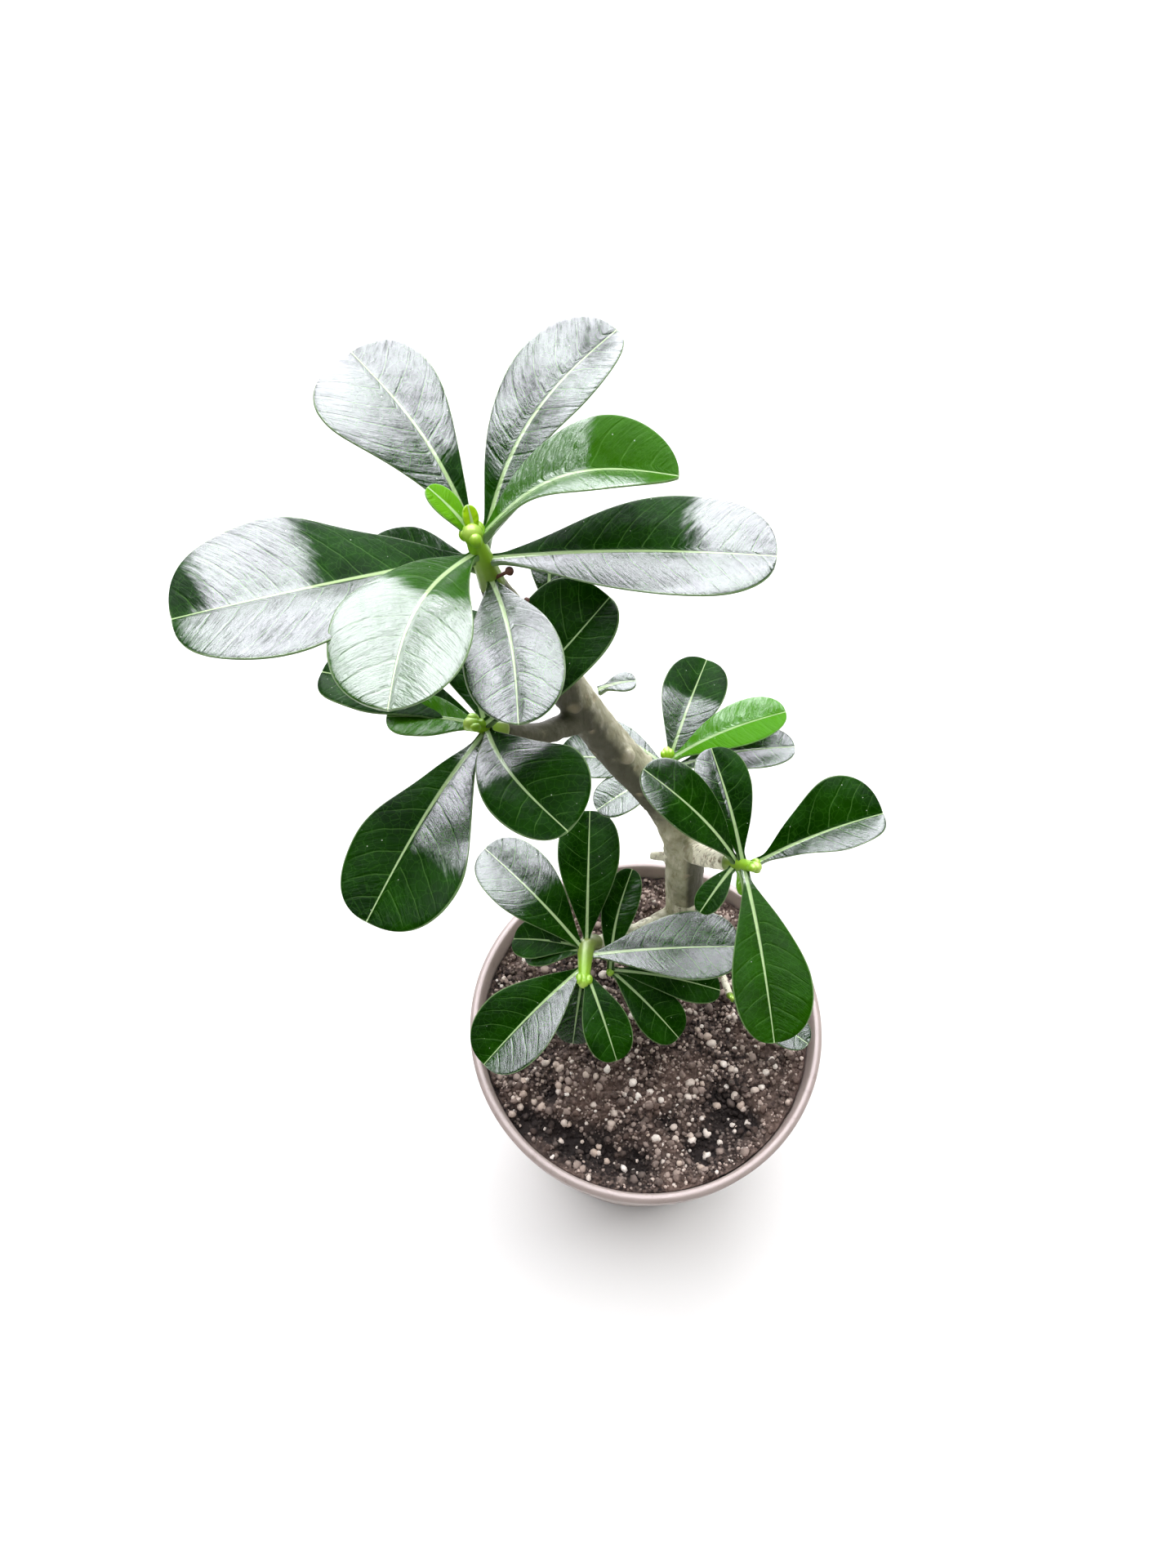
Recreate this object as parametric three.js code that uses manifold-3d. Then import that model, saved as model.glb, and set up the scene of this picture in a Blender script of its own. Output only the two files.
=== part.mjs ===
// A potted desert rose: a round plastic pot, gritty soil, a long bent woody stem
// with six side branches, and rosettes of thick spoon-shaped leaves at their tips.
// Millimetres, +Z up. The origin is the middle of the pot's underside.
import * as THREE from 'three';
import { mergeVertices } from 'three/addons/utils/BufferGeometryUtils.js';
import Module from 'manifold-3d';

const wasm = await Module();
wasm.setup();

// ---- Driving dimensions -------------------------------------------------------

const POT_HEIGHT = 125;
const RIM_DIAMETER = 140;
const FOOT_DIAMETER = 102;
const RIM_WALL = 3.7;
const POT_WALL = 2.6;
const POT_FLOOR = 3;
const COLLAR_HEIGHT = 12;
const COLLAR_STEP = 1.6;
const DRAIN_HOLES = 6;
const DRAIN_HOLE_DIAMETER = 8;
const DRAIN_CIRCLE_RADIUS = 28;
const POT_SIDES = 48;

const SOIL_BELOW_RIM = 8;
const SOIL_RINGS = 8;
const PERLITE_GRAINS = 44;
const GRAIN_SMALLEST = 3;
const GRAIN_LARGEST = 4.6;
const SEAT_GAP = 0.3;

const ROOT_DEPTH = 34;
const ROOT_RADIUS = 8;
const ROOT_HOLE_RADIUS = 8.4;
const STEM_X = 16.5;
const STEM_Y = 38;

const LEAF_EDGE = 0.7;
const LEAF_RIB = 1.2;
const PETIOLE_WIDTH = 3;
const PETIOLE_THICKNESS = 2;
const STALK_SHARE = 0.3;
const WEDGE_SWELL = 0.65;

const TRUNK_SIDES = 14;
const BRANCH_SIDES = 10;
const STUB_SIDES = 7;

const degrees = THREE.MathUtils.degToRad;

// A point of the plant, given by its height above the pot's rim.
function above(x, y, height) {
  return new THREE.Vector3(x, y, POT_HEIGHT + height);
}

// ---- Solids -------------------------------------------------------------------

// A closed geometry as a solid: shared vertices merged, empty triangles dropped.
function solid(geometry) {
  geometry.deleteAttribute('normal');
  geometry.deleteAttribute('uv');
  const merged = mergeVertices(geometry, 1e-4);
  const index = merged.index.array;
  const triangles = [];
  for (let i = 0; i < index.length; i += 3) {
    const [a, b, c] = [index[i], index[i + 1], index[i + 2]];
    if (a !== b && b !== c && c !== a) {
      triangles.push(a, b, c);
    }
  }
  return new wasm.Manifold(new wasm.Mesh({
    numProp: 3,
    vertProperties: Float32Array.from(merged.attributes.position.array),
    triVerts: Uint32Array.from(triangles),
  }));
}

function fuse(solids) {
  return solids.reduce((whole, next) => whole.add(next));
}

// A solid as the named mesh of a sub-part.
function part(name, body, colour, roughness) {
  const mesh = body.getMesh();
  const geometry = new THREE.BufferGeometry();
  geometry.setAttribute('position', new THREE.BufferAttribute(mesh.vertProperties, 3));
  geometry.setIndex(new THREE.BufferAttribute(mesh.triVerts, 1));
  geometry.computeVertexNormals();
  const material = new THREE.MeshStandardMaterial({ color: colour, roughness, metalness: 0 });
  const named = new THREE.Mesh(geometry, material);
  named.name = name;
  return named;
}

// A profile of [radius, height] pairs turned about the upright axis.
function turned(profile, sides) {
  const points = profile.map(([radius, height]) => new THREE.Vector2(radius, height));
  const geometry = new THREE.LatheGeometry(points, sides);
  geometry.rotateX(Math.PI / 2);
  return geometry;
}

// A tapering round limb through [point, radius] pairs: a turned column whose
// rings are moved to their places along the curve.
function limb(stations, sides, ringsPerSpan) {
  const curve = new THREE.CatmullRomCurve3(stations.map(([point]) => point));
  const spans = stations.length - 1;
  const rings = spans * ringsPerSpan;
  const profile = [new THREE.Vector2(0, 0)];
  const axes = [];
  let side = new THREE.Vector3(0.3, 1, 0.1);
  for (let ring = 0; ring <= rings; ring += 1) {
    const along = ring / ringsPerSpan;
    const span = Math.min(Math.floor(along), spans - 1);
    const radius = THREE.MathUtils.lerp(stations[span][1], stations[span + 1][1], along - span);
    const tangent = curve.getTangent(ring / rings);
    side = side.clone().addScaledVector(tangent, -side.dot(tangent)).normalize();
    const across = side.clone().cross(tangent);
    axes.push({ centre: curve.getPoint(ring / rings), side, across });
    profile.push(new THREE.Vector2(radius, ring));
  }
  profile.push(new THREE.Vector2(0, rings));
  const geometry = new THREE.LatheGeometry(profile, sides);
  const position = geometry.attributes.position;
  for (let i = 0; i < position.count; i += 1) {
    const { centre, side: u, across: v } = axes[Math.round(position.getY(i))];
    const x = position.getX(i);
    const z = position.getZ(i);
    const moved = centre.clone().addScaledVector(u, x).addScaledVector(v, z);
    position.setXYZ(i, moved.x, moved.y, moved.z);
  }
  return solid(geometry);
}

// ---- Leaves -------------------------------------------------------------------

// Places along a leaf where its outline is set, from the stalk to the tip.
const LARGE_LEAF = [0, 0.1, 0.22, 0.35, 0.48, 0.6, 0.7, 0.79, 0.87, 0.93, 0.97, 0.992, 0.999];
const SMALL_LEAF = [0, 0.18, 0.4, 0.6, 0.78, 0.92, 0.985, 0.998];
const SMALL_LEAF_LENGTH = 22;

// Half the leaf's width at a place along it: a narrow wedge up to the broadest
// place, about two thirds of the way, and a blunt round end beyond it.
function halfWidth(along, width, taper, blunt) {
  const broadest = 0.5 ** (1 / taper);
  const beyond = Math.max(0, (along - broadest) / (1 - broadest));
  const outline = along < broadest
    ? Math.sin(Math.PI * along ** taper) ** WEDGE_SWELL
    : (1 - beyond ** blunt) ** (1 / blunt);
  const stalk = 0.5 * PETIOLE_WIDTH * (1 - along);
  return Math.max(0.5 * width * outline, stalk);
}

// One thick blade. Turn and rise give the way from its base to its tip, in
// degrees; arch and sway bow it up and sideways, as shares of its length; fold
// lifts each half from flat, in degrees; a larger taper keeps its wedge longer;
// blunt rounds its tip; skew gives the left half more of the width.
function leaf(base, shape) {
  const { turn, rise, length, width, arch = 0.08, sway = 0, fold = 12 } = shape;
  const { taper = 1.8, blunt = 2.3, skew = 0 } = shape;
  const heading = new THREE.Vector3(1, 0, 0)
    .applyAxisAngle(new THREE.Vector3(0, 1, 0), -degrees(rise))
    .applyAxisAngle(new THREE.Vector3(0, 0, 1), degrees(turn));
  const side = new THREE.Vector3(-Math.sin(degrees(turn)), Math.cos(degrees(turn)), 0);
  const up = heading.clone().cross(side);
  const places = length < SMALL_LEAF_LENGTH ? SMALL_LEAF : LARGE_LEAF;
  const vertices = [];
  for (const along of places) {
    const bow = Math.sin(Math.PI * along) * length;
    const lean = Math.PI * Math.cos(Math.PI * along);
    const centre = base.clone().addScaledVector(heading, along * length)
      .addScaledVector(up, arch * bow).addScaledVector(side, sway * bow);
    const tangent = heading.clone().addScaledVector(up, arch * lean)
      .addScaledVector(side, sway * lean).normalize();
    const across = side.clone().addScaledVector(tangent, -side.dot(tangent)).normalize();
    const normal = tangent.clone().cross(across);
    const half = halfWidth(along, width, taper, blunt);
    const stalk = Math.max(0, 1 - along / STALK_SHARE);
    const rib = THREE.MathUtils.lerp(LEAF_RIB, PETIOLE_THICKNESS, stalk);
    const edge = THREE.MathUtils.lerp(LEAF_EDGE, PETIOLE_THICKNESS, stalk);
    const slope = Math.tan(degrees(fold));
    const right = half * (1 - skew) * Math.cos(degrees(fold));
    const left = half * (1 + skew) * Math.cos(degrees(fold));
    for (const [sideways, depth] of [[-right, edge], [0, rib], [left, edge]]) {
      const raised = Math.abs(sideways) * slope;
      const top = centre.clone().addScaledVector(across, sideways).addScaledVector(normal, raised);
      const bottom = top.clone().addScaledVector(normal, -depth);
      vertices.push(top, bottom);
    }
  }
  return solid(bladeGeometry(vertices, places.length));
}

// The faces of a blade whose rows hold left, rib and right, each a top and a
// bottom point. Both faces are split along the same diagonals.
function bladeGeometry(vertices, rows) {
  const point = (row, column, bottom) => row * 6 + column * 2 + bottom;
  const index = [];
  const quad = (a, b, c, d) => index.push(a, b, c, a, c, d);
  for (let row = 0; row < rows - 1; row += 1) {
    const next = row + 1;
    for (const column of [0, 1]) {
      const [t0, t1] = [point(row, column, 0), point(row, column + 1, 0)];
      const [t2, t3] = [point(next, column + 1, 0), point(next, column, 0)];
      index.push(t0, t2, t1, t0, t3, t2);
      index.push(t0 + 1, t1 + 1, t2 + 1, t0 + 1, t2 + 1, t3 + 1);
    }
    quad(point(row, 0, 0), point(row, 0, 1), point(next, 0, 1), point(next, 0, 0));
    quad(point(row, 2, 1), point(row, 2, 0), point(next, 2, 0), point(next, 2, 1));
  }
  const last = rows - 1;
  for (const column of [0, 1]) {
    quad(point(0, column, 0), point(0, column + 1, 0), point(0, column + 1, 1), point(0, column, 1));
    quad(point(last, column, 1), point(last, column + 1, 1),
      point(last, column + 1, 0), point(last, column, 0));
  }
  const geometry = new THREE.BufferGeometry();
  geometry.setAttribute('position', new THREE.Float32BufferAttribute(
    vertices.flatMap((vertex) => vertex.toArray()), 3));
  geometry.setIndex(index);
  return geometry;
}

// ---- The leafy shoots ---------------------------------------------------------

// Foot and apex are [x, y, height above the rim]; down is how far below the
// apex a leaf grows from the stem.
const SHOOTS = {
  shoot_top: {
    foot: [-46.5, 38, 226], apex: [-49.6, 38, 243], radius: 3.4,
    leaves: [
      { down: 7, turn: -157.5, rise: 9, length: 72, width: 40, arch: 0.05, sway: 0.03 },
      { down: 8, turn: 127.5, rise: 28, length: 57, width: 31, sway: -0.04, taper: 2.6, skew: 0.22 },
      { down: 7, turn: 52.5, rise: 30, length: 61, width: 22, sway: 0.075, taper: 2.1, skew: -0.15 },
      { down: 2, turn: -2, rise: 27, length: 51.5, width: 23, arch: 0.12, sway: 0.09, fold: 26,
        skew: -0.1, blunt: 1.6 },
      { down: 8, turn: -7, rise: 9, length: 69.5, width: 31, arch: 0.03 },
      { down: 5, turn: -108.5, rise: 8, length: 52.5, width: 32, sway: -0.08 },
      { down: 14, turn: -79, rise: 2, length: 44.5, width: 24, sway: 0.04 },
      { down: 12, turn: 172, rise: 2, length: 30, width: 15 },
      { down: 2, turn: 150, rise: 45, length: 17, width: 7 },
      { down: 1, turn: 110, rise: 70, length: 9, width: 4 },
    ],
  },
  shoot_left: {
    foot: [-46, 21.5, 184], apex: [-53, 19, 191], radius: 2.8,
    leaves: [
      { down: 5, turn: -118, rise: -5, length: 61, width: 32, taper: 2.2, skew: 0.18 },
      { down: 4, turn: -58, rise: 12, length: 43, width: 28, sway: -0.08, skew: -0.2 },
      { down: 5, turn: 178, rise: 8, length: 27, width: 14 },
      { down: 4, turn: 160, rise: 2, length: 48, width: 21 },
      { down: 4, turn: 107, rise: 10, length: 35, width: 20 },
      { down: 3, turn: 20, rise: 48, length: 53, width: 30, sway: -0.1, skew: -0.2, taper: 2.1 },
    ],
  },
  shoot_back: {
    foot: [6.5, 57, 89], apex: [5, 65, 96.6], radius: 2.6,
    leaves: [
      { down: 3, turn: 68, rise: 20, length: 40, width: 23 },
      { down: 2, turn: 10, rise: 28, length: 45, width: 18 },
      { down: 5, turn: 4, rise: 13, length: 44.5, width: 17 },
      { down: 5, turn: 148, rise: 6, length: 32, width: 10 },
      { down: 6, turn: 170, rise: -2, length: 40, width: 20 },
      { down: 6, turn: -149, rise: 0, length: 30, width: 16 },
    ],
  },
  shoot_right: {
    foot: [21.2, 14.5, 115.5], apex: [28.4, 10, 122], radius: 2.6,
    leaves: [
      { down: 6, turn: 152, rise: 42, length: 47, width: 20 },
      { down: 4, turn: 107, rise: 26, length: 38, width: 18 },
      { down: 1, turn: 15.5, rise: 19, length: 43.5, width: 26, fold: 25, taper: 2.2, skew: -0.2 },
      { down: 4, turn: -83.5, rise: -6, length: 56, width: 24.5, taper: 2, skew: 0.12 },
      { down: 7, turn: -127, rise: -6, length: 20, width: 9 },
      { down: 6, turn: -80, rise: -30, length: 10, width: 4 },
    ],
  },
  shoot_front: {
    foot: [-20.5, 19.5, 33], elbow: [-23.5, 15, 40.5], apex: [-24.5, 2.5, 41], radius: 2.8,
    leaves: [
      { down: 10, turn: 136.5, rise: 15, length: 54.5, width: 27 },
      { down: 12, turn: 88.5, rise: 22, length: 51.5, width: 24 },
      { down: 9, turn: 3, rise: 1, length: 58, width: 28, arch: 0.04 },
      { down: 5, turn: -134.5, rise: -2, length: 51.5, width: 30, fold: 22 },
      { down: 4, turn: -70.5, rise: -12, length: 35.5, width: 18 },
      { down: 9, turn: -100, rise: -34, length: 34, width: 17 },
      { down: 11, turn: 178, rise: -14, length: 24, width: 13 },
      { down: 12, turn: 168, rise: -12, length: 29, width: 17 },
    ],
  },
  shoot_front_lower: {
    foot: [-14.2, 14, 28.4], apex: [-14.6, 9, 29.5], radius: 1.6,
    leaves: [
      { down: 1, turn: -43, rise: -14, length: 36, width: 19 },
      { down: 1, turn: -8, rise: -9, length: 43, width: 17 },
      { down: 0, turn: 76, rise: 30, length: 40, width: 14, sway: 0.04 },
    ],
  },
  shoot_base: {
    foot: [33.6, 9, 2.5], apex: [34, 6.5, 6.5], radius: 1.5,
    leaves: [
      { down: 1, turn: -37, rise: 10, length: 35, width: 16 },
    ],
  },
};

function shoot({ foot, elbow = foot, apex, radius, leaves }) {
  const top = above(...apex);
  const axis = top.clone().sub(above(...elbow)).normalize();
  const stem = [[above(...foot), radius]];
  if (elbow !== foot) {
    stem.push([above(...elbow), radius]);
  }
  stem.push([top, 0.6 * radius]);
  const solids = [limb(stem, BRANCH_SIDES, 3)];
  for (const shape of leaves) {
    solids.push(leaf(top.clone().addScaledVector(axis, -shape.down), shape));
  }
  return fuse(solids);
}

// A lone leaf on the upper stem: base is where its stalk meets the bark.
const LONE_LEAVES = {
  leaf_upper: { base: [-33.6, 41.1, 208.1], turn: 85, rise: 36, length: 20, width: 11, taper: 2 },
  leaf_behind: { base: [-20.4, 42, 172.6], turn: 8, rise: 12, length: 11.5, width: 7, taper: 2 },
};

// ---- Trunk and branches -------------------------------------------------------

// [x, y, height above the rim, radius]
const TRUNK = [
  [STEM_X, STEM_Y, -SOIL_BELOW_RIM - ROOT_DEPTH, 0.8 * ROOT_RADIUS],
  [STEM_X, STEM_Y, -SOIL_BELOW_RIM - 0.8 * ROOT_DEPTH, ROOT_RADIUS],
  [STEM_X, STEM_Y, -SOIL_BELOW_RIM, ROOT_RADIUS],
  [16, 38, 8, 7.4],
  [13.4, 38, 48, 7.2],
  [12, 38, 66, 7.1],
  [9.6, 38, 87, 6.9],
  [3.6, 38, 109, 6.7],
  [-2.3, 38, 122, 6.5],
  [-11.2, 38, 139, 6.2],
  [-20.8, 38, 160, 5.9],
  [-28.6, 38, 180, 5.5],
  [-37, 38, 203, 4.9],
  [-42.9, 38, 215, 4.5],
];

const BRANCHES = {
  shoot_left: [[-23, 38, 165, 4.5], [-29, 32, 170, 3.6], [-38, 25, 176, 3.2]],
  shoot_back: [[9.5, 38, 84, 5], [8, 47, 84, 3.8]],
  shoot_right: [[10, 38, 84, 5], [14, 27, 96, 4]],
  shoot_front: [[14.5, 38, 22, 4], [0, 29.5, 27, 2.4], [-13, 23, 29.5, 2.2]],
  shoot_front_lower: [[-11, 24, 29.5, 2], [-13, 20, 28.4, 1.7]],
  shoot_base: [[17, 37, -1, 3], [28, 26, 0, 1.8]],
};

// A woody limb that ends on the foot of its shoot, in line with it.
function woodyLimb(course, { foot, elbow, apex, radius }, sides) {
  const low = above(...foot);
  const axis = above(...(elbow ?? apex)).sub(low).normalize();
  const stations = course.map(([x, y, height, thick]) => [above(x, y, height), thick]);
  stations.push([low.clone().addScaledVector(axis, -2), radius]);
  stations.push([low.clone().addScaledVector(axis, -SEAT_GAP), radius]);
  return limb(stations, sides, 2);
}

// The short stub of a lost twig: its root in the stem, its end and its radius.
const STUB = { root: [11.6, 38, 69], end: [-0.6, 39, 69.4], radius: 1.5 };

// Knobs on the bark where leaves and twigs grew: a place and a radius.
const KNOBS = [
  [10, 35, 30, 2.2],
  [16, 31.5, 28, 1.6],
  [-11.4, 34, 149.5, 2.6],
  [-4, 32.8, 126, 1.8],
  [-16.5, 43, 151, 2],
  [-26.5, 33.6, 178, 2.2],
  [-43.5, 34.2, 219, 1.8],
];

function trunkAndBranches() {
  const solids = [woodyLimb(TRUNK, SHOOTS.shoot_top, TRUNK_SIDES)];
  const stub = [above(...STUB.root), above(...STUB.end)].map((place) => [place, STUB.radius]);
  solids.push(limb(stub, STUB_SIDES, 1));
  for (const [x, y, height, radius] of KNOBS) {
    const knob = new THREE.SphereGeometry(radius, 7, 5);
    knob.translate(...above(x, y, height).toArray());
    solids.push(solid(knob));
  }
  for (const [name, course] of Object.entries(BRANCHES)) {
    solids.push(woodyLimb(course, SHOOTS[name], BRANCH_SIDES));
  }
  return fuse(solids);
}

// ---- Pot ----------------------------------------------------------------------

function potWallRadius(height) {
  const share = height / (POT_HEIGHT - COLLAR_HEIGHT);
  return THREE.MathUtils.lerp(FOOT_DIAMETER / 2, RIM_DIAMETER / 2 - COLLAR_STEP - 1, share);
}

function pot() {
  const rim = RIM_DIAMETER / 2;
  const collarFoot = POT_HEIGHT - COLLAR_HEIGHT;
  const wallTop = potWallRadius(collarFoot);
  const body = solid(turned([
    [0, 0],
    [FOOT_DIAMETER / 2 - 1.5, 0],
    [FOOT_DIAMETER / 2, 1.5],
    [wallTop, collarFoot],
    [rim - 1, collarFoot + 0.6],
    [rim, POT_HEIGHT - 1],
    [rim - 1, POT_HEIGHT],
    [rim - RIM_WALL + 0.8, POT_HEIGHT],
    [rim - RIM_WALL, POT_HEIGHT - 0.8],
    [wallTop - POT_WALL, collarFoot - 2],
    [FOOT_DIAMETER / 2 - POT_WALL, POT_FLOOR],
    [0, POT_FLOOR],
  ], POT_SIDES));
  const holes = [];
  for (let i = 0; i < DRAIN_HOLES; i += 1) {
    const turn = (2 * Math.PI * i) / DRAIN_HOLES;
    const hole = new THREE.CylinderGeometry(
      DRAIN_HOLE_DIAMETER / 2, DRAIN_HOLE_DIAMETER / 2, 4 * POT_FLOOR, 16);
    hole.rotateX(Math.PI / 2);
    hole.translate(DRAIN_CIRCLE_RADIUS * Math.cos(turn), DRAIN_CIRCLE_RADIUS * Math.sin(turn), 0);
    holes.push(solid(hole));
  }
  return body.subtract(fuse(holes));
}

// ---- Soil ---------------------------------------------------------------------

// The height of the crumbly surface at a place on it: low waves of two sizes.
function soilHeight(x, y) {
  const broad = Math.sin(x / 11 + 1) * Math.cos(y / 13);
  const crumbs = Math.sin(x / 2.3 + y / 5) * Math.sin(y / 2.9 - x / 7);
  return POT_HEIGHT - SOIL_BELOW_RIM + 1.2 * broad + 0.9 * crumbs;
}

// Evenly spread numbers from 0 to 1, the same on each run.
function seededRandom(seed) {
  let state = seed;
  return () => {
    state = (state * 16807) % 2147483647;
    return state / 2147483647;
  };
}

function soil() {
  const surface = POT_HEIGHT - SOIL_BELOW_RIM;
  const collarFoot = POT_HEIGHT - COLLAR_HEIGHT;
  const edge = potWallRadius(collarFoot) - POT_WALL - SEAT_GAP;
  const profile = [
    [0, POT_FLOOR + SEAT_GAP],
    [FOOT_DIAMETER / 2 - POT_WALL - 2 * SEAT_GAP, POT_FLOOR + SEAT_GAP],
    [edge - 0.4, collarFoot - 4],
    [edge, surface - 1],
  ];
  for (let ring = SOIL_RINGS; ring >= 0; ring -= 1) {
    profile.push([((edge - 1.5) * ring) / SOIL_RINGS, surface]);
  }
  const geometry = turned(profile, POT_SIDES);
  const position = geometry.attributes.position;
  for (let i = 0; i < position.count; i += 1) {
    if (position.getZ(i) > surface - 0.5) {
      position.setZ(i, soilHeight(position.getX(i), position.getY(i)));
    }
  }
  const random = seededRandom(7);
  const grains = [];
  while (grains.length < PERLITE_GRAINS) {
    const reach = (edge - 4) * Math.sqrt(random());
    const turn = 2 * Math.PI * random();
    const size = THREE.MathUtils.lerp(GRAIN_SMALLEST, GRAIN_LARGEST, random()) / 2;
    const grain = new THREE.IcosahedronGeometry(size, 0);
    grain.rotateX(6 * random());
    grain.rotateZ(6 * random());
    const [x, y] = [reach * Math.cos(turn), reach * Math.sin(turn)];
    grain.translate(x, y, soilHeight(x, y) + 0.2 * size);
    if (Math.hypot(x - STEM_X, y - STEM_Y) > ROOT_RADIUS + GRAIN_LARGEST) {
      grains.push(solid(grain));
    }
  }
  const hole = new THREE.CylinderGeometry(
    ROOT_HOLE_RADIUS, ROOT_HOLE_RADIUS, ROOT_DEPTH + 20, 24);
  hole.rotateX(Math.PI / 2);
  hole.translate(STEM_X, STEM_Y, surface - ROOT_DEPTH - SEAT_GAP + ROOT_DEPTH / 2 + 10);
  return solid(geometry).add(fuse(grains)).subtract(solid(hole));
}

// ---- Assembly -----------------------------------------------------------------

const object = new THREE.Group();
object.add(part('pot', pot(), 0xcbbcb5, 0.55));
object.add(part('soil', soil(), 0x4a3f39, 0.95));
object.add(part('trunk_and_branches', trunkAndBranches(), 0x8b8672, 0.8));
for (const [name, design] of Object.entries(SHOOTS)) {
  object.add(part(name, shoot(design), 0x1f5c0a, 0.3));
}
for (const [name, design] of Object.entries(LONE_LEAVES)) {
  object.add(part(name, leaf(above(...design.base), design), 0x2f6c1a, 0.3));
}

export default object;
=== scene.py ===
# A potted desert rose, put together as a grower would: the pot, the gritty soil, the
# woody plant that stands in it, and the rosettes of thick glossy leaves at its tips.
# Everything is in metres, +Z up, with the origin in the middle of the pot's underside.
import math
import random

import bmesh
import bpy
from mathutils import Matrix, Vector, noise


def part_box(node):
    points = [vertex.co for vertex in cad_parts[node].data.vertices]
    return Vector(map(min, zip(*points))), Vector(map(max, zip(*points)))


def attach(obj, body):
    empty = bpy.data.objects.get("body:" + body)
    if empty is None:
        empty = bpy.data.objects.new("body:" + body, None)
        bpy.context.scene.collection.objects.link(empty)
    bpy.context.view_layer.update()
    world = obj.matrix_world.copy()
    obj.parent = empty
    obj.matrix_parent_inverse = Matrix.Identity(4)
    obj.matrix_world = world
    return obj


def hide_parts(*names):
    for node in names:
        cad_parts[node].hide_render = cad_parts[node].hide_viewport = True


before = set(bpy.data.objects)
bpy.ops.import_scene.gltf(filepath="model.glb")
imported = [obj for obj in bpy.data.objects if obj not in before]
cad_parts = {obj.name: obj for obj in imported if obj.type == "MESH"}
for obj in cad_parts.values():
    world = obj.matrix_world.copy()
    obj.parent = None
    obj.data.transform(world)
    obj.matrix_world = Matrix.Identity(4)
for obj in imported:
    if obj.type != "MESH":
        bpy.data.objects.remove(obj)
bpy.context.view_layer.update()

# ---- The pot ----------------------------------------------------------------------
# A round nursery pot, injection moulded in pinkish grey polypropylene. Its wall and
# floor are one turned shell with a stiffening collar under a rounded lip, and six
# drain holes are punched through the floor.

MM = 0.001

pot_low, pot_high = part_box("pot")
POT_HEIGHT = pot_high.z
RIM_RADIUS = (pot_high.x - pot_low.x) / 2
FOOT_RADIUS = 51 * MM
COLLAR_HEIGHT = 12 * MM
COLLAR_STEP = 1.6 * MM
RIM_WALL = 3.7 * MM
POT_WALL = 2.6 * MM
POT_FLOOR = 3 * MM
FOOT_RECESS = 1 * MM
FOOT_RING_WIDTH = 6 * MM
FOOT_ROUNDING = 1.5 * MM
COLLAR_TAPER = 1 * MM
LIP_DEPTH = 1.4 * MM
DUST_REACH = 30 * MM
DRAIN_HOLES = 6
DRAIN_HOLE_RADIUS = 4 * MM
DRAIN_CIRCLE_RADIUS = 28 * MM
TURNING_STEPS = 128


def linear(hex_colour):
    """The linear RGBA that Blender wants for an sRGB colour such as "#AD9E98"."""
    shares = [int(hex_colour[i:i + 2], 16) / 255 for i in (1, 3, 5)]
    return [s / 12.92 if s <= 0.04045 else ((s + 0.055) / 1.055) ** 2.4 for s in shares] + [1]


def add(tree, kind, settings=None, inputs=None, out=0):
    """Adds a node with its settings, links or sets its inputs, and gives one output."""
    node = tree.nodes.new(kind)
    for name, value in (settings or {}).items():
        setattr(node, name, value)
    for name, value in (inputs or {}).items():
        if isinstance(value, bpy.types.NodeSocket):
            tree.links.new(value, node.inputs[name])
        else:
            node.inputs[name].default_value = value
    return node.outputs[out]


def new_material(name, **surface):
    """A material and its shader, with the constants of its surface set on the shader."""
    material = bpy.data.materials.new(name)
    material.use_nodes = True
    shader = material.node_tree.nodes["Principled BSDF"]
    for socket, value in surface.items():
        shader.inputs[socket.replace("_", " ")].default_value = value
    return material, material.node_tree, shader


def finish_piece(bm, name, material):
    """Makes a mesh piece of a bmesh, gives it its finish, and fixes it to the plant's one body."""
    mesh = bpy.data.meshes.new(name)
    bm.to_mesh(mesh)
    bm.free()
    mesh.materials.append(material)
    mesh.shade_smooth()
    piece = bpy.data.objects.new(name, mesh)
    bpy.context.scene.collection.objects.link(piece)
    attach(piece, "root")
    return piece


def settle(piece):
    """Works a piece's modifiers into its mesh."""
    graph = bpy.context.evaluated_depsgraph_get()
    worked = bpy.data.meshes.new_from_object(piece.evaluated_get(graph))
    piece.modifiers.clear()
    spare = piece.data
    piece.data = worked
    bpy.data.meshes.remove(spare)


# Polypropylene: matt, slightly translucent plastic, moulded against an eroded steel
# mould. That gives soft wide highlights over a fine even grain, with a dusting of
# dried soil near the rim.
plastic, tree, shader = new_material("moulded polypropylene", Roughness=0.5, IOR=1.49)
place = add(tree, "ShaderNodeTexCoord", out="Object")
clouding = add(tree, "ShaderNodeTexNoise", inputs={"Vector": place, "Scale": 1 / (40 * MM), "Detail": 3})
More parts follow.
